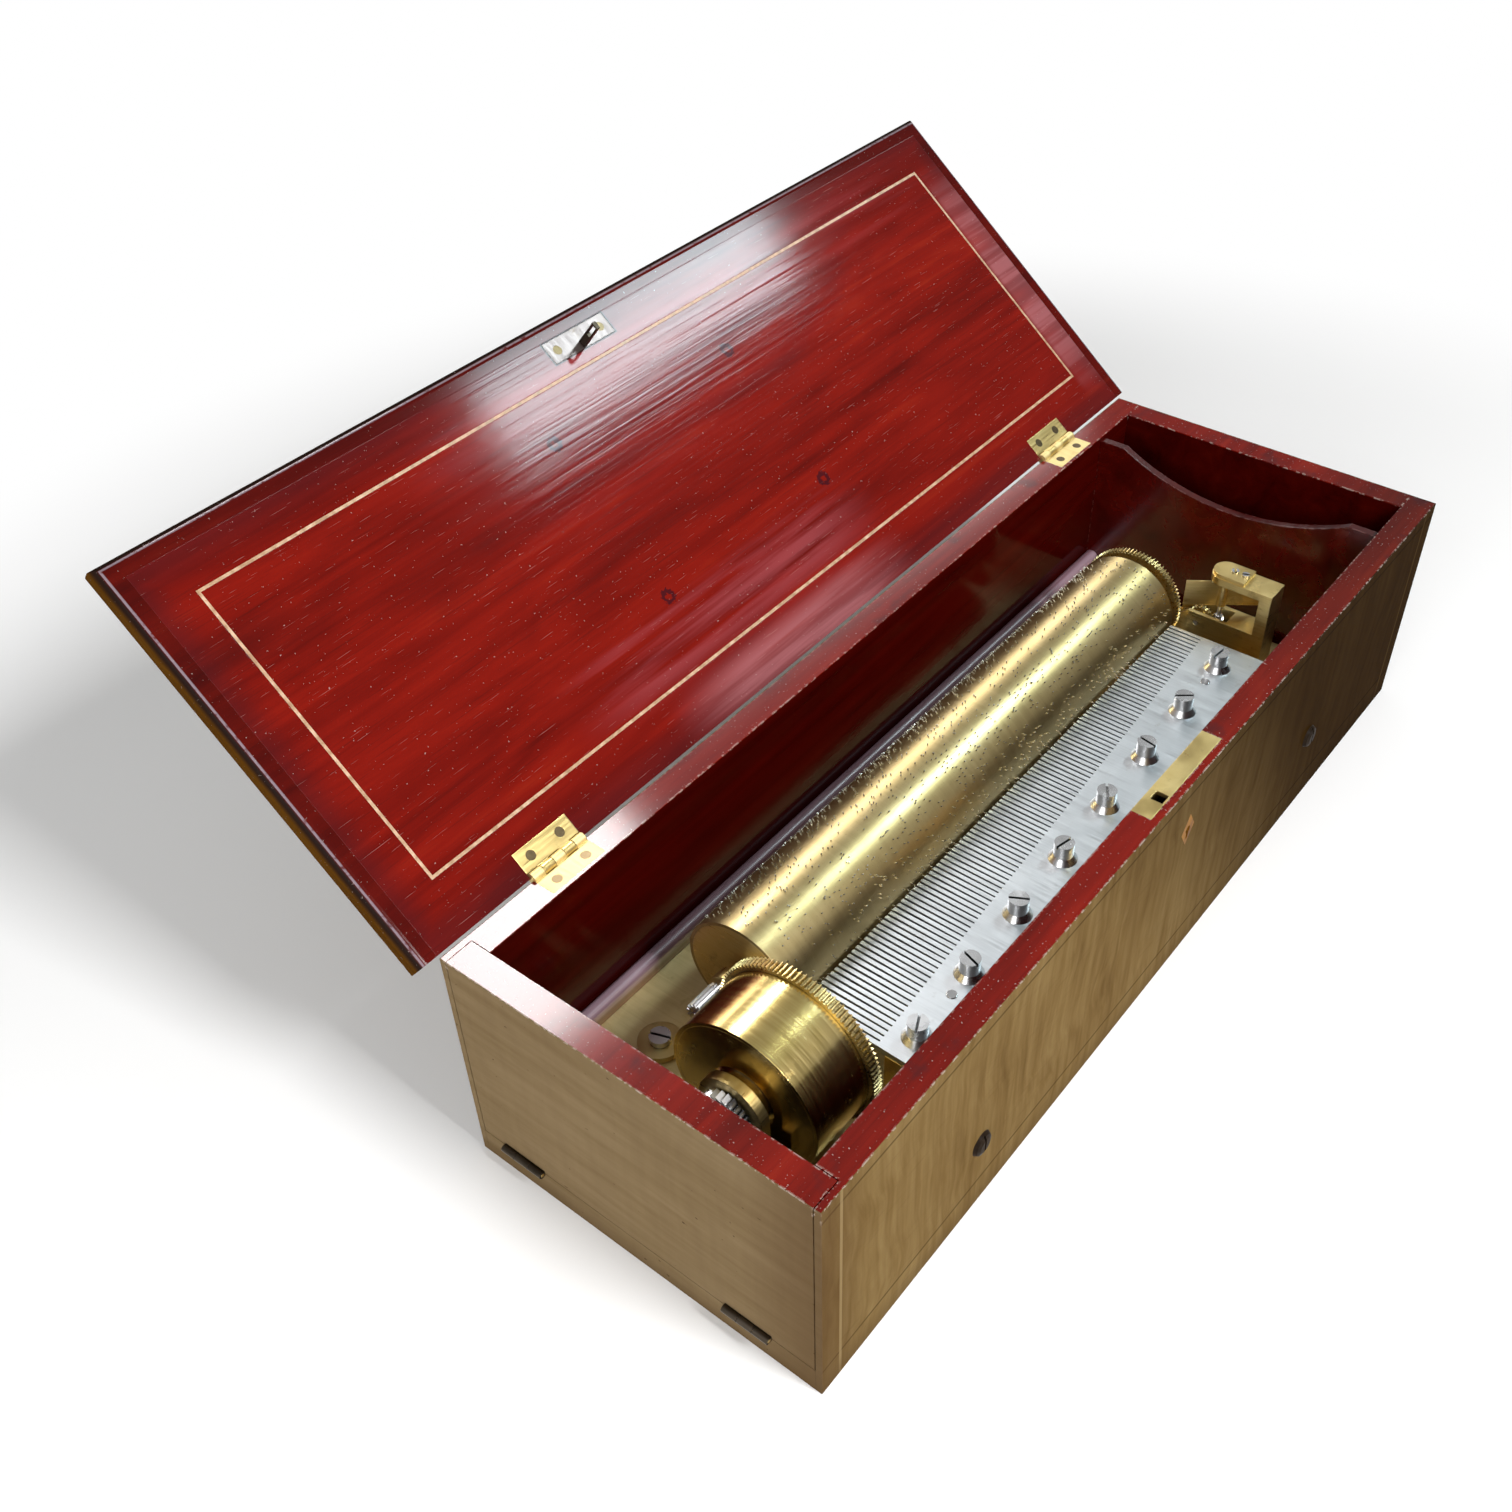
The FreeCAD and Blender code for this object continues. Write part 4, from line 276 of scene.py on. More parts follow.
def red_wood(look, place, dark=1.0):
    """Red-stained mahogany with the grain along X: colour, roughness and height."""
    streaks = look.noise(look.stretched((3.2, 85, 85), place=place), 5, 0.6, 0.6)
    figure = look.noise(look.stretched((9, 34, 34), shift=(3, 1, 7), place=place), 3, 0.5, 1.2)
    fine = look.noise(look.stretched((26, 1500, 1500), place=place), 3, 0.6)
    blotch = look.noise(look.stretched((7, 16, 16), shift=(1, 5, 2), place=place), 3, 0.5)
    waves = look.noise(look.stretched((6, 380, 380), shift=(9, 4, 3), place=place), 3, 0.6)
    stops = [(0.28, (0.075, 0.0022, 0.0014)), (0.42, (0.155, 0.0040, 0.0020)),
             (0.56, (0.225, 0.0065, 0.0028)), (0.72, (0.315, 0.017, 0.0055))]
    colour = look.ramp(look.weighed(streaks, 0.62, figure, 0.38),
                       [(where, darkened(tone, dark)) for where, tone in stops])
    pores = look.between(fine, 0.58, 0.72)
    colour = look.laid(pores, 0.35, colour, darkened((0.05, 0.004, 0.003), dark))
    smoke = look.between(blotch, 0.58, 0.76)
    colour = look.laid(smoke, 0.6, colour, darkened((0.05, 0.003, 0.003), dark))
    roughness = look.between(fine, 0.25, 0.75, POLISH_SMOOTH, POLISH_DULL)
    return colour, roughness, look.weighed(fine, 0.15, waves, 0.85)


def repolished(look, roughness, smooth, dull):
    """The roughness of red polish, moved to another range."""
    return look.between(roughness, POLISH_SMOOTH, POLISH_DULL, smooth, dull)


def veneer(look, place):
    """Figured tan veneer, fine upright ripples over a long grain: colour, roughness and height."""
    sway = look.both(look.noise(look.stretched((14, 14, 14), place=place), 2, 0.5), 0.022)
    offset = look.node("ShaderNodeCombineXYZ")
    look.feed(offset.inputs[0], sway)
    look.feed(offset.inputs[1], sway)
    bent = look.node("ShaderNodeVectorMath", operation="ADD")
    look.feed(bent.inputs[0], place)
    look.feed(bent.inputs[1], offset.outputs[0])
    bent_place = bent.outputs[0]
    ripple = look.noise(look.stretched((210, 210, 15), (0.25, 0.3, 0), place=bent_place), 3, 0.55, 0.2)
    broad = look.noise(look.stretched((13, 13, 9), shift=(2, 2, 2), place=bent_place), 3, 0.5, 0.3)
    grain = look.noise(look.stretched((40, 40, 1100), place=place), 3, 0.6)
    colour = look.ramp(look.weighed(ripple, 0.55, broad, 0.45),
                       [(0.30, (0.110, 0.064, 0.021)), (0.45, (0.155, 0.096, 0.034)),
                        (0.58, (0.190, 0.124, 0.048)), (0.72, (0.235, 0.160, 0.068))])
    lines = look.between(grain, 0.56, 0.72)
    colour = look.laid(lines, 0.25, colour, (0.10, 0.055, 0.018))
    return colour, look.between(grain, 0.25, 0.75, 0.38, 0.5), grain


def lid_veneer(look, shut):
    """The same veneer, lying flat on the lid."""
    return veneer(look, look.stretched((1, 1, 1), (math.pi / 2, 0, 0), place=shut))


def scuffs(look, place, scale, low, high):
    """Small scattered specks, as chips and dust on old polish."""
    return look.between(look.noise(look.stretched((scale, scale, scale), place=place), 2, 0.7), low, high)


def case_polish(look, rim):
    """Red polish on the case's rims, dark red stain inside with painted shade deeper down: colour, roughness
    and height.
    """
    across, along, up = look.parts()
    red, rough, height = red_wood(look, look.place)
    # The inside is darker towards the bottom: partly the dark stain, partly painted shade
    stain = look.mix(look.between(up, 0.02, 0.112), (0.09, 0.08, 0.08), (0.22, 0.20, 0.20))
    inside = look.tinted(red, stain)
    polished = look.tinted(red, (0.95, 1.25, 1.15))
    smudge = look.between(look.noise(look.stretched((55, 55, 55), shift=(2, 6, 1)), 3, 0.6), 0.54, 0.72)
    polished = look.laid(smudge, 0.55, polished, (0.05, 0.010, 0.012))
    # The front rim is darker towards the right: partly a darker tone, partly painted shade
    dark_and_shaded_right = look.both(look.between(across, -0.05, 0.2), look.between(along, 0.0, -0.08))
    polished = look.mix(dark_and_shaded_right, polished, look.tinted(polished, (0.6, 1.0, 1.0)))
    rough = look.mix(rim, rough, repolished(look, rough, 0.25, 0.35))
    return look.mix(rim, inside, polished), rough, height


def case_veneer(look, ends, sides):
    """Veneer outside the case, with its lines, nicks, darker patches and painted shade: colour, roughness
    and height.
    """
    across, along, up = look.parts()
    tan, rough, height = veneer(look, look.place)
    # Thin dark lines along the borders
    low_line = look.near(up, 0.0155, 0.0005, 0.0003)
    high_line = look.near(up, CASE_TOP - 0.0065, 0.0005, 0.0003)
    border = look.both(look.either(low_line, high_line), sides)
    tan = look.laid(border, 0.6, tan, (0.05, 0.028, 0.010))
    # Hazy, nicked ends
    cloudy = look.noise(look.stretched((40, 12, 130)), 4, 0.6)
    hazy = look.ramp(cloudy, [(0.35, (0.180, 0.124, 0.064)), (0.65, (0.228, 0.162, 0.090))])
    tan = look.laid(ends, 0.8, tan, hazy)
    nicks = look.between(look.noise(look.stretched((300, 170, 330)), 2, 0.6), 0.71, 0.75)
    tan = look.laid(look.both(nicks, ends), 0.8, tan, (0.05, 0.028, 0.012))
    # A pale line beside each corner of the long sides
    corner = look.near(look.maths("ABSOLUTE", across), CASE_HALF_LENGTH - 0.011, 0.0006, 0.0003)
    tan = look.laid(look.both(corner, sides), 0.6, tan, (0.42, 0.31, 0.15))
    # Darker along the foot; a dark right half of the front, partly darker wood and partly painted shade; and
    # painted shade towards the flap's front corner
    foot = look.between(up, 0.0, 0.014, 1.0, 0.0)
    tan = look.laid(foot, 0.5, tan, (0.10, 0.06, 0.025))
    slant = look.maths("ADD", across, look.both(up, 0.8))
    # Darker to the right and upwards: partly darker wood, partly painted shade
    dark_wood_and_shade = look.both(look.between(slant, -0.04, 0.19), look.between(along, 0.0, -0.08))
    tan = look.mix(dark_wood_and_shade, tan, look.tinted(tan, (0.15, 0.115, 0.075)))
    # Painted shade towards the flap's front corner
    corner_shade = look.both(look.between(along, -0.045, -0.086), look.between(across, -0.22, -0.25))
    tan = look.laid(corner_shade, 0.55, tan, (0.085, 0.045, 0.018))
    return tan, rough, height


def case_wood():
    """Case boards: veneer outside, red polish on the rims, dark red stain with painted shade inside."""
    look = Look("case_wood")
    across, along, up = look.parts()
    ends = look.between(look.maths("ABSOLUTE", across), CASE_HALF_LENGTH - 0.0004, CASE_HALF_LENGTH - 0.0002)
    sides = look.between(look.maths("ABSOLUTE", along), CASE_HALF_DEPTH - 0.0004, CASE_HALF_DEPTH - 0.0002)
    outside = look.either(ends, sides)
    rim = look.between(up, CASE_TOP - 0.0008, CASE_TOP - 0.0003)
    red, red_rough, red_height = case_polish(look, rim)
    tan, tan_rough, tan_height = case_veneer(look, ends, sides)
    colour = look.mix(outside, red, tan)
    # Rubbed edges and specks of dust near the rims
    wear = look.both(look.edge_share(0.0013), scuffs(look, look.place, 420, 0.50, 0.58))
    wear = look.both(wear, look.between(up, CASE_TOP - 0.008, CASE_TOP - 0.002))
    colour = look.laid(wear, 0.85, colour, (0.55, 0.44, 0.38))
    specks = look.both(scuffs(look, look.place, 900, 0.69, 0.73), rim)
    colour = look.laid(specks, 0.7, colour, (0.55, 0.45, 0.42))
    gloss = look.both(look.between(outside, 0.0, 1.0, 1.0, 0.08), look.between(rim, 0.0, 1.0, 0.25, 0.7))
    look.set(Base_Color=colour, Roughness=look.mix(outside, red_rough, tan_rough))
    look.set(Coat_Weight=gloss, Coat_Roughness=0.11, Specular_IOR_Level=0.0)
    look.relief(look.mix(outside, red_height, tan_height), 0.10, 0.0004, 0.0006)
    return look.material


def with_painted_sheen(look, red, shut, across, reach):
    """Painted lilac sheen of the old polish, standing in for reflected light: along two lines of the grain,
    by the hinges and at the right margin.
    """
    streaks = look.noise(look.stretched((4, 90, 90), shift=(5, 8, 2), place=shut), 4, 0.6)
    streaky = look.between(streaks, 0.40, 0.62)
    # Painted sheen along two lines of the grain
    low_line = look.both(look.near(reach, 0.040, 0.004, 0.018), look.near(across, -0.04, 0.05, 0.06))
    high_line = look.both(look.near(reach, 0.158, 0.003, 0.012), look.near(across, 0.05, 0.11, 0.08))
    painted_sheen = look.both(look.either(low_line, high_line), streaky)
    red = look.laid(painted_sheen, 0.6, red, (0.32, 0.062, 0.070))
    # Painted glare by the hinges and at the right margin
    by_hinges = look.both(look.near(reach, 0.007, 0.004, 0.012), look.near(across, -0.02, 0.03, 0.06))
    right_margin = look.both(look.between(across, 0.230, 0.236), look.near(reach, 0.085, 0.03, 0.05))
    pale = look.both(look.either(by_hinges, right_margin), look.between(streaky, 0.0, 1.0, 0.4, 1.0))
    return look.laid(pale, 0.75, red, (0.36, 0.125, 0.135))


def with_scars(look, red, shut, across, reach):
    """Dark uneven rings where tacks were."""
    wobble = look.both(look.noise(look.stretched((700, 700, 700), place=shut), 2, 0.5), 0.004)
    scars = 0.0
    for x, away in TACK_SCARS:
        side = look.maths("SUBTRACT", across, x)
        down = look.maths("SUBTRACT", reach, away)
        uneven = look.maths("ADD", look.length(side, down), wobble)
        scars = look.either(scars, look.near(uneven, SCAR_RADIUS, 0.0007, 0.0007))
    return look.laid(scars, 0.8, red, (0.03, 0.004, 0.008))


def lid_wood():
    """Lid panel: red polish with old tack scars below, veneer on the outside."""
    look = Look("lid_wood")
    shut = shut_lid_place(look)
    across, along, up = look.parts(shut)
    outside = look.between(up, LID_OUTSIDE - 0.0008, LID_OUTSIDE - 0.0004)
    reach = look.maths("SUBTRACT", HINGE.y, along)
    red, red_rough, red_height = red_wood(look, shut)
    # Darker margins
    far_and_near = look.either(look.between(reach, 0.163, 0.178), look.between(reach, 0.016, 0.004))
    margin = look.either(look.between(look.maths("ABSOLUTE", across), 0.236, 0.252), far_and_near)
    red = look.laid(margin, 0.55, red, (0.05, 0.006, 0.008))
    red = look.tinted(red, (0.86, 0.95, 0.95))
    # Painted lilac sheen on the polish
    red = with_painted_sheen(look, red, shut, across, reach)
    # Painted shadow in the gap round the catch plate
    low, high = shut_box("catch_plate")
    middle = (low + high) / 2
    half = (high - low) / 2
    gap_shadow = look.both(look.near(across, middle.x, half.x + 0.0006, 0.0004),
                    look.near(along, middle.y, half.y + 0.00055, 0.0004))
    red = look.laid(gap_shadow, 0.85, red, (0.012, 0.006, 0.006))
    red = with_scars(look, red, shut, across, reach)
    # Fine scratches and specks
    slanted = look.stretched((60, 2400, 2400), (0, 0, 0.5), place=shut)
    scratches = look.between(look.noise(slanted, 2, 0.5), 0.70, 0.74)
    red = look.laid(scratches, 0.35, red, (0.45, 0.22, 0.2))
    red = look.laid(scuffs(look, shut, 800, 0.715, 0.74), 0.55, red, (0.5, 0.4, 0.38))
    tan, tan_rough, tan_height = lid_veneer(look, shut)
    polish = repolished(look, red_rough, 0.075, 0.115)
    look.set(Base_Color=look.mix(outside, red, tan), Roughness=look.mix(outside, polish, tan_rough))
    look.set(Specular_IOR_Level=0.14)
    look.relief(look.mix(outside, red_height, tan_height), 0.16, 0.0004, 0.0006)
    return look.material


def edge_wood():
    """Rounded lid edge: red below, near black at the turn, worn golden brown towards the outside."""
    look = Look("edge_wood")
    shut = shut_lid_place(look)
    up = look.parts(shut)[2]
    red, red_rough, red_height = red_wood(look, shut, 0.62)
    red = look.tinted(red, (0.66, 0.85, 1.0))
    brown = look.tinted(lid_veneer(look, shut)[0], (0.52, 0.32, 0.07))
    turned = look.between(up, LID_UNDERSIDE + 0.0003, LID_UNDERSIDE + 0.0009)
    colour = look.mix(turned, red, (0.016, 0.008, 0.006))
    colour = look.mix(look.between(up, LID_UNDERSIDE + 0.0014, LID_UNDERSIDE + 0.0038), colour, brown)
    # A pale line on the turn, partly rubbed wear and partly a painted highlight, and specks
    line = look.near(up, LID_UNDERSIDE + 0.00035, 0.0001, 0.00012)
    rubbed_and_highlight = look.both(line, scuffs(look, shut, 260, 0.25, 0.5))
    colour = look.laid(rubbed_and_highlight, 0.65, colour, (0.30, 0.25, 0.29))
    colour = look.laid(scuffs(look, shut, 800, 0.70, 0.74), 0.5, colour, (0.45, 0.36, 0.33))
    look.set(Base_Color=colour, Roughness=look.mix(turned, red_rough, (0.4, 0.4, 0.4)))
    look.set(Coat_Weight=look.between(turned, 0.0, 1.0, 0.28, 0.02), Coat_Roughness=0.11)
    look.set(Specular_IOR_Level=0.0)
    look.relief(red_height, 0.14, 0.0004)
    return look.material


def dark_board(name, dark, smooth, dull, coat, coat_roughness, painted_sheen_height=None):
    """A dark polished board inside the case; above the given height a pale painted highlight runs along it.
    """
    look = Look(name)
    red, rough, height = red_wood(look, look.place, dark)
    # Rubbed edges and specks, partly wear and partly a painted highlight along the edges
    wear = look.both(look.edge_share(0.0009), scuffs(look, look.place, 300, 0.45, 0.6))
    colour = look.laid(wear, 0.5, red, (0.30, 0.18, 0.17))
    # A painted highlight along the board above the given height
    if painted_sheen_height is not None:
        up = look.parts()[2]
        streaks = look.noise(look.stretched((9, 300, 300), shift=(2, 6, 1)), 4, 0.6)
        pale = look.both(look.between(up, painted_sheen_height, painted_sheen_height + 0.003),
                         look.between(streaks, 0.3, 0.6, 0.45, 0.9))
        colour = look.mix(pale, colour, (0.32, 0.22, 0.27))
    look.set(Base_Color=colour, Roughness=repolished(look, rough, smooth, dull))
    look.set(Coat_Weight=coat, Coat_Roughness=coat_roughness)
    look.relief(height, 0.1, 0.0004, 0.0008)
    return look.material


def stained_wood():
    return dark_board("stained_wood", dark=0.28, smooth=0.13, dull=0.22, coat=0.3, coat_roughness=0.12)


def batten_wood():
    return dark_board("batten_wood", dark=0.5, smooth=0.34, dull=0.44, coat=0.6, coat_roughness=0.3,
                      painted_sheen_height=BATTEN_TOP - 0.0065)


def plain_wood():
    """Unpolished softwood of the bottom and the bearers."""
    look = Look("plain_wood")
    rings = look.noise(look.stretched((4, 60, 60)), 4, 0.6, 0.8)
    fine = look.noise(look.stretched((30, 900, 900)), 3, 0.6)
    colour = look.toned(rings, ((0.09, 0.05, 0.022), (0.17, 0.10, 0.048), (0.24, 0.155, 0.08)))
    colour = look.laid(look.between(fine, 0.55, 0.7), 0.4, colour, (0.06, 0.03, 0.014))
    look.set(Base_Color=colour, Roughness=look.between(fine, 0.3, 0.7, 0.6, 0.8))
    look.relief(fine, 0.3, 0.0005)
    return look.material


def lozenge_inlay():
    """Orange-brown fruitwood round the keyhole."""
    look = Look("lozenge_inlay")
    fine = look.noise(look.stretched((300, 300, 60)), 3, 0.6)
    colour = look.ramp(fine, [(0.35, (0.12, 0.048, 0.008)), (0.55, (0.24, 0.105, 0.018)),
                              (0.7, (0.33, 0.16, 0.034))])
    look.set(Base_Color=colour, Roughness=look.between(fine, 0.3, 0.7, 0.35, 0.5))
    look.set(Specular_IOR_Level=0.03)
    look.relief(fine, 0.1, 0.0003)
    return look.material


def light_inlay():
    """Pale wood of the line let into the lid."""
    look = Look("light_inlay")
    fine = look.noise(look.stretched((300, 300, 300)), 3, 0.6)
    colour = look.ramp(fine, [(0.35, (0.36, 0.20, 0.10)), (0.55, (0.54, 0.33, 0.19)),
                              (0.7, (0.64, 0.43, 0.28))])
    look.set(Base_Color=colour, Roughness=look.between(fine, 0.3, 0.7, 0.3, 0.45))
    look.relief(fine, 0.1, 0.0003)
    return look.material


# Metals

def metal(name, tones, rough, brush, tarnish, tarnish_colour, bevel, relief=0.08, hollow_shade=0.0):
    """A worked metal: brushed lines, uneven tone, tarnish in patches, and painted shade in its hollows."""
    look = Look(name)
    lines = look.noise(look.stretched(brush), 3, 0.6)
    cloud = look.noise(look.stretched((28, 28, 28), shift=(4, 2, 9)), 4, 0.6, 0.5)
    colour = look.toned(look.weighed(lines, 0.4, cloud, 0.6), tones)
    patches = look.noise(look.stretched((90, 90, 90), shift=(7, 3, 1)), 5, 0.65)
    stain = look.between(patches, 0.56, 0.72)
    colour = look.laid(stain, tarnish, colour, tarnish_colour)
    # Painted shade in slots and between teeth
    if hollow_shade:
        colour = look.laid(look.hollows(0.0016), hollow_shade, colour, (0.012, 0.010, 0.008))
    smooth, dull = rough
    brushed = look.between(lines, 0.25, 0.75, smooth, dull)
    look.set(Base_Color=colour, Roughness=look.maths("ADD", brushed, look.both(stain, 0.12)), Metallic=1.0)
    look.relief(lines, relief, 0.0003, bevel)
    return look.material


def brass():
    return metal("brass", tones=((0.55, 0.39, 0.14), (0.72, 0.54, 0.22), (0.82, 0.65, 0.30)),
                 rough=(0.26, 0.40), brush=(60, 60, 1400),
                 tarnish=0.45, tarnish_colour=(0.22, 0.145, 0.05), bevel=0.0005)


def satin_brass():
    return metal("satin_brass", tones=((0.66, 0.50, 0.22), (0.80, 0.64, 0.32), (0.88, 0.73, 0.40)),
                 rough=(0.48, 0.6), brush=(1300, 40, 40),
                 tarnish=0.3, tarnish_colour=(0.40, 0.28, 0.11), bevel=0.0005)


def polished_brass():
    return metal("polished_brass", tones=((0.58, 0.42, 0.14), (0.70, 0.53, 0.20), (0.80, 0.63, 0.29)),
                 rough=(0.15, 0.26), brush=(1800, 40, 40),
                 tarnish=0.3, tarnish_colour=(0.33, 0.22, 0.07), bevel=0.0005, relief=0.05)


def cut_brass():
    """Brass of the toothed wheels, its edges left sharp."""
    return metal("cut_brass", tones=((0.60, 0.44, 0.17), (0.74, 0.57, 0.25), (0.84, 0.68, 0.34)),
                 rough=(0.24, 0.36), brush=(900, 900, 900),
                 tarnish=0.3, tarnish_colour=(0.30, 0.20, 0.07), bevel=0.0, relief=0.01, hollow_shade=0.9)


def old_brass():
    """Browned brass of the hinge and catch screws, its edges left sharp."""
    return metal("old_brass", tones=((0.085, 0.060, 0.032), (0.135, 0.098, 0.053), (0.19, 0.142, 0.08)),
                 rough=(0.3, 0.42), brush=(900, 900, 900),
                 tarnish=0.4, tarnish_colour=(0.10, 0.065, 0.03), bevel=0.0, relief=0.02, hollow_shade=0.8)


def cylinder_brass():
    """Satin brass turned in a lathe: fine rings round the axis, tune lines and dull patches."""
    look = Look("cylinder_brass")
    rings = look.noise(look.stretched((5200, 6, 6)), 3, 0.7)
    bands = look.noise(look.stretched((700, 2, 2), shift=(3, 0, 0)), 3, 0.6)
    cloud = look.noise(look.stretched((22, 60, 60)), 4, 0.6, 0.4)
    colour = look.toned(look.weighed(bands, 0.3, cloud, 0.7),
                        ((0.39, 0.29, 0.125), (0.45, 0.345, 0.16), (0.52, 0.405, 0.21)))
    grooves = look.between(rings, 0.54, 0.66)
    colour = look.laid(grooves, 0.06, colour, (0.36, 0.255, 0.10))
    pores = look.between(look.noise(look.stretched((1500, 900, 900)), 2, 0.6), 0.66, 0.72)
    colour = look.laid(pores, 0.4, colour, (0.16, 0.11, 0.05))
    rough = look.maths("ADD", look.between(bands, 0.3, 0.7, 0.31, 0.35), look.both(grooves, 0.04))
    look.set(Base_Color=colour, Roughness=rough, Metallic=1.0)
    look.relief(rings, 0.05, 0.0002, 0.0004)
    return look.material


def comb_steel():
    """Ground steel, the lines running along the teeth, with grey blotches near the screws."""
    look = Look("comb_steel")
    lines = look.noise(look.stretched((1900, 45, 45)), 3, 0.6)
    cloud = look.noise(look.stretched((35, 35, 35)), 4, 0.6, 0.6)
    colour = look.toned(look.weighed(lines, 0.45, cloud, 0.55),
                        ((0.44, 0.455, 0.47), (0.52, 0.535, 0.55), (0.59, 0.605, 0.62)))
    stain = look.between(look.noise(look.stretched((140, 140, 140)), 5, 0.7), 0.60, 0.74)
    colour = look.laid(stain, 0.35, colour, (0.30, 0.28, 0.25))
    look.set(Base_Color=colour, Roughness=look.between(lines, 0.25, 0.75, 0.34, 0.5), Metallic=1.0)
    look.relief(lines, 0.08, 0.0003, 0.0003)
    return look.material


def cut_steel():
    """Steel of the pinions and slotted screws, its edges left sharp."""
    return metal("cut_steel", tones=((0.60, 0.60, 0.61), (0.74, 0.74, 0.75), (0.84, 0.84, 0.85)),
                 rough=(0.22, 0.32), brush=(60, 60, 60),
                 tarnish=0.2, tarnish_colour=(0.40, 0.37, 0.34), bevel=0.0, relief=0.01, hollow_shade=0.95)


def polished_steel():
    return metal("polished_steel", tones=((0.55, 0.55, 0.56), (0.70, 0.70, 0.71), (0.80, 0.80, 0.81)),
                 rough=(0.12, 0.22), brush=(70, 70, 1500),
                 tarnish=0.3, tarnish_colour=(0.30, 0.27, 0.24), bevel=0.0004, relief=0.05)


def pin_steel():
    return metal("pin_steel", tones=((0.10, 0.09, 0.07), (0.30, 0.28, 0.24), (0.70, 0.68, 0.64)),
                 rough=(0.25, 0.4), brush=(900, 900, 900),
                 tarnish=0.3, tarnish_colour=(0.12, 0.09, 0.06), bevel=0.0)


def dark_steel():
    return metal("dark_steel", tones=((0.035, 0.028, 0.021), (0.060, 0.047, 0.034), (0.10, 0.08, 0.06)),
                 rough=(0.32, 0.5), brush=(60, 60, 1200),
                 tarnish=0.4, tarnish_colour=(0.07, 0.045, 0.03), bevel=0.0005)


def worn_nickel():
    return metal("worn_nickel", tones=((0.145, 0.117, 0.111), (0.19, 0.153, 0.145), (0.235, 0.19, 0.18)),
                 rough=(0.3, 0.42), brush=(1200, 60, 60),
                 tarnish=0.5, tarnish_colour=(0.26, 0.19, 0.11), bevel=0.0004)


def browned_steel():
    """The screw heads in the front: nearly black, browned in patches."""
    look = Look("browned_steel")
    cloud = look.noise(look.stretched((160, 160, 160)), 4, 0.6)
    colour = look.ramp(cloud, [(0.35, (0.012, 0.008, 0.005)), (0.6, (0.026, 0.017, 0.011)),
                               (0.75, (0.050, 0.033, 0.020))])
    look.set(Base_Color=colour, Roughness=look.between(cloud, 0.3, 0.7, 0.34, 0.5))
    look.set(Specular_IOR_Level=0.02)
    look.relief(cloud, 0.1, 0.0003)
    return look.material


# Which piece wears what
WEARS = {
    case_wood: ["front_wall", "back_wall", "right_end", "end_sill", "end_flap"],
    lid_wood: ["lid_panel"],
    edge_wood: ["lid_moulding"],
    stained_wood: ["partition"],
    batten_wood: ["rear_batten"],
    plain_wood: ["bottom_board", "bed_bearers"],
    light_inlay: ["lid_stringing"],
    lozenge_inlay: ["escutcheon"],
    brass: ["lid_hinge_leaves", "hinge_pins", "lock_plate", "cylinder_cock_left", "cylinder_cock_right",
            "barrel_cock_right", "barrel_cock_left", "governor_frame", "governor_cap", "fan",
            "cylinder_end_caps", "comb_base", "start_lever"],
    satin_brass: ["bedplate", "case_hinge_leaves"],
    polished_brass: ["barrel_drum", "barrel_cover"],
    cut_brass: ["barrel_wheel", "great_gear", "first_wheel", "worm_wheel"],
    cylinder_brass: ["cylinder_tube"],
    comb_steel: ["comb"],
    polished_steel: ["comb_dowels", "cylinder_arbor", "winding_arbor", "click", "click_spring"],
    cut_steel: ["comb_screws", "cock_screws", "governor_cap_screws", "drive_pinion", "first_arbor",
                "second_arbor", "endless_screw", "ratchet_wheel"],
    worn_nickel: ["catch_plate"],
    old_brass: ["lid_screws", "case_hinge_screws"],
    browned_steel: ["bed_screws"],
    dark_steel: ["catch_staple", "lock_case", "lock_bolt", "mainspring", "flap_hinge_leaves",
                 "sill_hinge_leaves"],
}


def dress():
    """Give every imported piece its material."""
    for maker, names in WEARS.items():
        finish = maker()
        for name in names:
            piece = nodes[name]
            piece.data.materials.clear()
            piece.data.materials.append(finish)


# Added pieces

def object_from(name, mesh, finish):
    """A new object from a mesh, with its material."""
    data = bpy.data.meshes.new(name)
    mesh.to_mesh(data)
    mesh.free()
    made = bpy.data.objects.new(name, data)
    scene.collection.objects.link(made)
    data.materials.append(finish)
    return made


def pin_ring(mesh, along, angle, reach):
    """The corners of one end of a pin that stands on the cylinder at an angle."""
    ring = []
    for corner in range(PIN_SIDES):
        turn = corner * 2 * math.pi / PIN_SIDES
        side = PIN_RADIUS * math.cos(turn)
        across = PIN_RADIUS * math.sin(turn)
        y = CYLINDER_AXIS.y + reach * math.sin(angle) + across * math.cos(angle)
        z = CYLINDER_AXIS.z + reach * math.cos(angle) - across * math.sin(angle)
        ring.append(mesh.verts.new((along + side, y, z)))
    return ring


def pinned_music():
    """The pins of the tunes, set in rows that the comb's teeth read, each a small six-sided stud."""
    chance = random.Random(7)
    mesh = bmesh.new()
    for tooth in range(COMB_TEETH):
        middle = COMB_START + (tooth + 0.5) * COMB_PITCH
        for _ in range(PINS_PER_TOOTH):
            along = middle + (chance.randrange(TRACKS) - (TRACKS - 1) / 2) * TRACK_STEP
            angle = math.radians(chance.randrange(360) + chance.random())
            low = pin_ring(mesh, along, angle, CYLINDER_RADIUS - PIN_ROOT)
            high = pin_ring(mesh, along, angle, CYLINDER_RADIUS + PIN_HEIGHT)
            for corner in range(PIN_SIDES):
                following = (corner + 1) % PIN_SIDES
                mesh.faces.new((low[corner], low[following], high[following], high[corner]))
            mesh.faces.new(high)
    bmesh.ops.recalc_face_normals(mesh, faces=mesh.faces)
    made = object_from("tune_pins", mesh, pin_steel())
    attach(made, "cylinder")


# Stage, light and camera

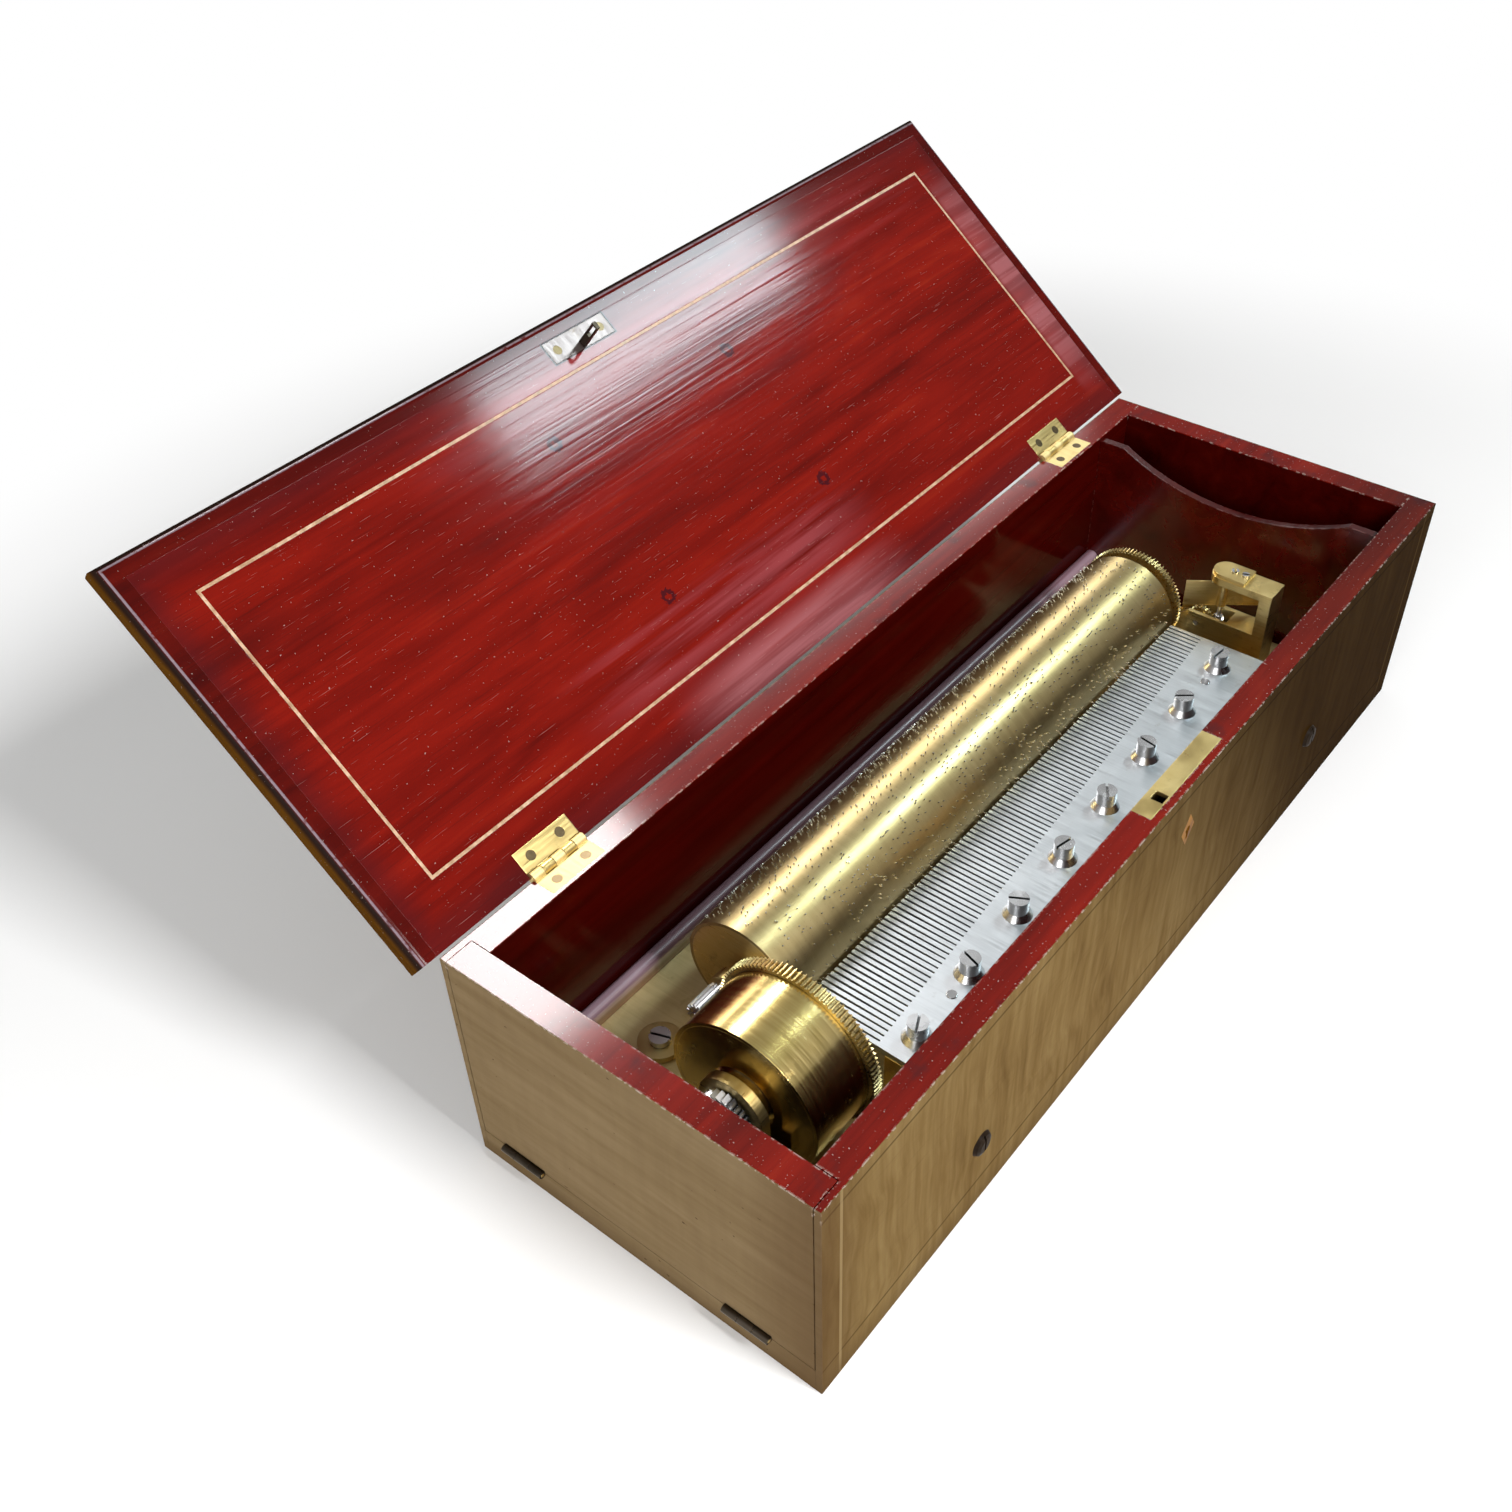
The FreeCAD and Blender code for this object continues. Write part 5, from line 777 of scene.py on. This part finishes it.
def floor_paint():
    """Pale matt floor that glows white far from the box, where it meets the white backdrop."""
    look = Look("floor")
    across, along = look.parts()[:2]
    fine = look.noise(look.stretched((3, 3, 3)), 3, 0.5)
    pale = look.ramp(fine, [(0.3, (0.925, 0.925, 0.925)), (0.7, (0.94, 0.94, 0.94))])
    look.set(Base_Color=pale, Roughness=0.9, Specular_IOR_Level=0.1)
    light_path = look.node("ShaderNodeLightPath")
    seen = look.either(light_path.outputs["Is Camera Ray"], light_path.outputs["Is Glossy Ray"])
    seen = look.either(seen, light_path.outputs["Is Transmission Ray"])
    glow = look.node("ShaderNodeEmission")
    glow.inputs["Strength"].default_value = 1.0
    blend = look.node("ShaderNodeMixShader")
    look.feed(blend.inputs[0], look.both(seen, look.between(look.length(across, along), 0.5, 0.72)))
    look.feed(blend.inputs[1], look.shader.outputs[0])
    look.feed(blend.inputs[2], glow.outputs[0])
    look.feed(look.tree.nodes["Material Output"].inputs["Surface"], blend.outputs[0])
    return look.material


def make_floor():
    """A wide floor under the box."""
    mesh = bmesh.new()
    bmesh.ops.create_grid(mesh, x_segments=1, y_segments=1, size=6)
    floor = object_from("floor", mesh, floor_paint())


def soft_light(name, place, aim, along, size, power, shades=True, tint=(1, 1, 1)):
    """A rectangle of light that faces its aim, its second side lying along a direction."""
    lamp = bpy.data.lights.new(name, "AREA")
    lamp.shape = "RECTANGLE"
    lamp.size, lamp.size_y = size
    lamp.energy = power
    lamp.color = tint
    made = bpy.data.objects.new(name, lamp)
    scene.collection.objects.link(made)
    back = (Vector(place) - Vector(aim)).normalized()
    side = Vector(along).cross(back).normalized()
    turn = Matrix((side, back.cross(side), back)).transposed().to_4x4()
    made.matrix_world = Matrix.Translation(place) @ turn
    made.visible_diffuse = shades


def make_lights():
    """A key and a fill that light the box, and three panels that only show in its polish."""
    soft_light("key", place=(-0.08, -1.5, 1.62), aim=(0, 0.05, 0.1), along=(1, 0, 0),
               size=(0.5, 0.5), power=41)
    soft_light("fill", place=(-1.6, -0.5, 0.9), aim=(-0.2, 0, 0.1), along=(0, 1, 0),
               size=(1.0, 1.2), power=19)
    soft_light("long_softbox", place=(1.13, -0.335, 1.46), aim=(0, 0.05, 0.12), along=(0.8, 0.34, -0.52),
               size=(0.15, 0.5), power=11, shades=False, tint=(0.74, 0.94, 1.0))
    soft_light("back_window", place=(0.46, 0.93, 1.29), aim=(-0.2, 0.07, 0.12), along=(1, 0, 0),
               size=(0.26, 0.36), power=9, shades=False)
    soft_light("low_strip", place=(1.17, 1.03, 1.0), aim=(0, 0.03, 0.1), along=(0.62, -0.2, -0.25),
               size=(0.4, 0.8), power=5.5, shades=False)


def make_world():
    """Grey surroundings, lighter above, that the camera itself sees as white."""
    world = bpy.data.worlds.new("studio")
    scene.world = world
    world.use_nodes = True
    tree = world.node_tree
    back = tree.nodes["Background"]
    place = tree.nodes.new("ShaderNodeTexCoord")
    parts = tree.nodes.new("ShaderNodeSeparateXYZ")
    ramp = tree.nodes.new("ShaderNodeValToRGB")
    path = tree.nodes.new("ShaderNodeLightPath")
    mix = tree.nodes.new("ShaderNodeMix")
    mix.data_type = "RGBA"
    first, last = ramp.color_ramp.elements
    first.position = 0.0
    first.color = (0.21, 0.21, 0.22, 1)
    last.position = 0.9
    last.color = (0.38, 0.38, 0.37, 1)
    tree.links.new(place.outputs["Generated"], parts.inputs[0])
    tree.links.new(parts.outputs[2], ramp.inputs[0])
    tree.links.new(path.outputs["Is Camera Ray"], mix.inputs["Factor"])
    tree.links.new(ramp.outputs[0], mix.inputs["A"])
    mix.inputs["B"].default_value = (1, 1, 1, 1)
    tree.links.new(mix.outputs["Result"], back.inputs["Color"])


def make_camera():
    """The camera of the photograph's view."""
    data = bpy.data.cameras.new("camera")
    data.sensor_width = SENSOR_WIDTH
    data.lens = LENS
    camera = bpy.data.objects.new("camera", data)
    scene.collection.objects.link(camera)
    turn = Matrix((CAMERA_RIGHT, CAMERA_UP, -CAMERA_FORWARD)).transposed().to_4x4()
    camera.matrix_world = Matrix.Translation(CAMERA_PLACE) @ turn
    scene.camera = camera


dress()
pinned_music()
make_floor()
make_world()
make_lights()
make_camera()
scene.view_settings.view_transform = "Standard"
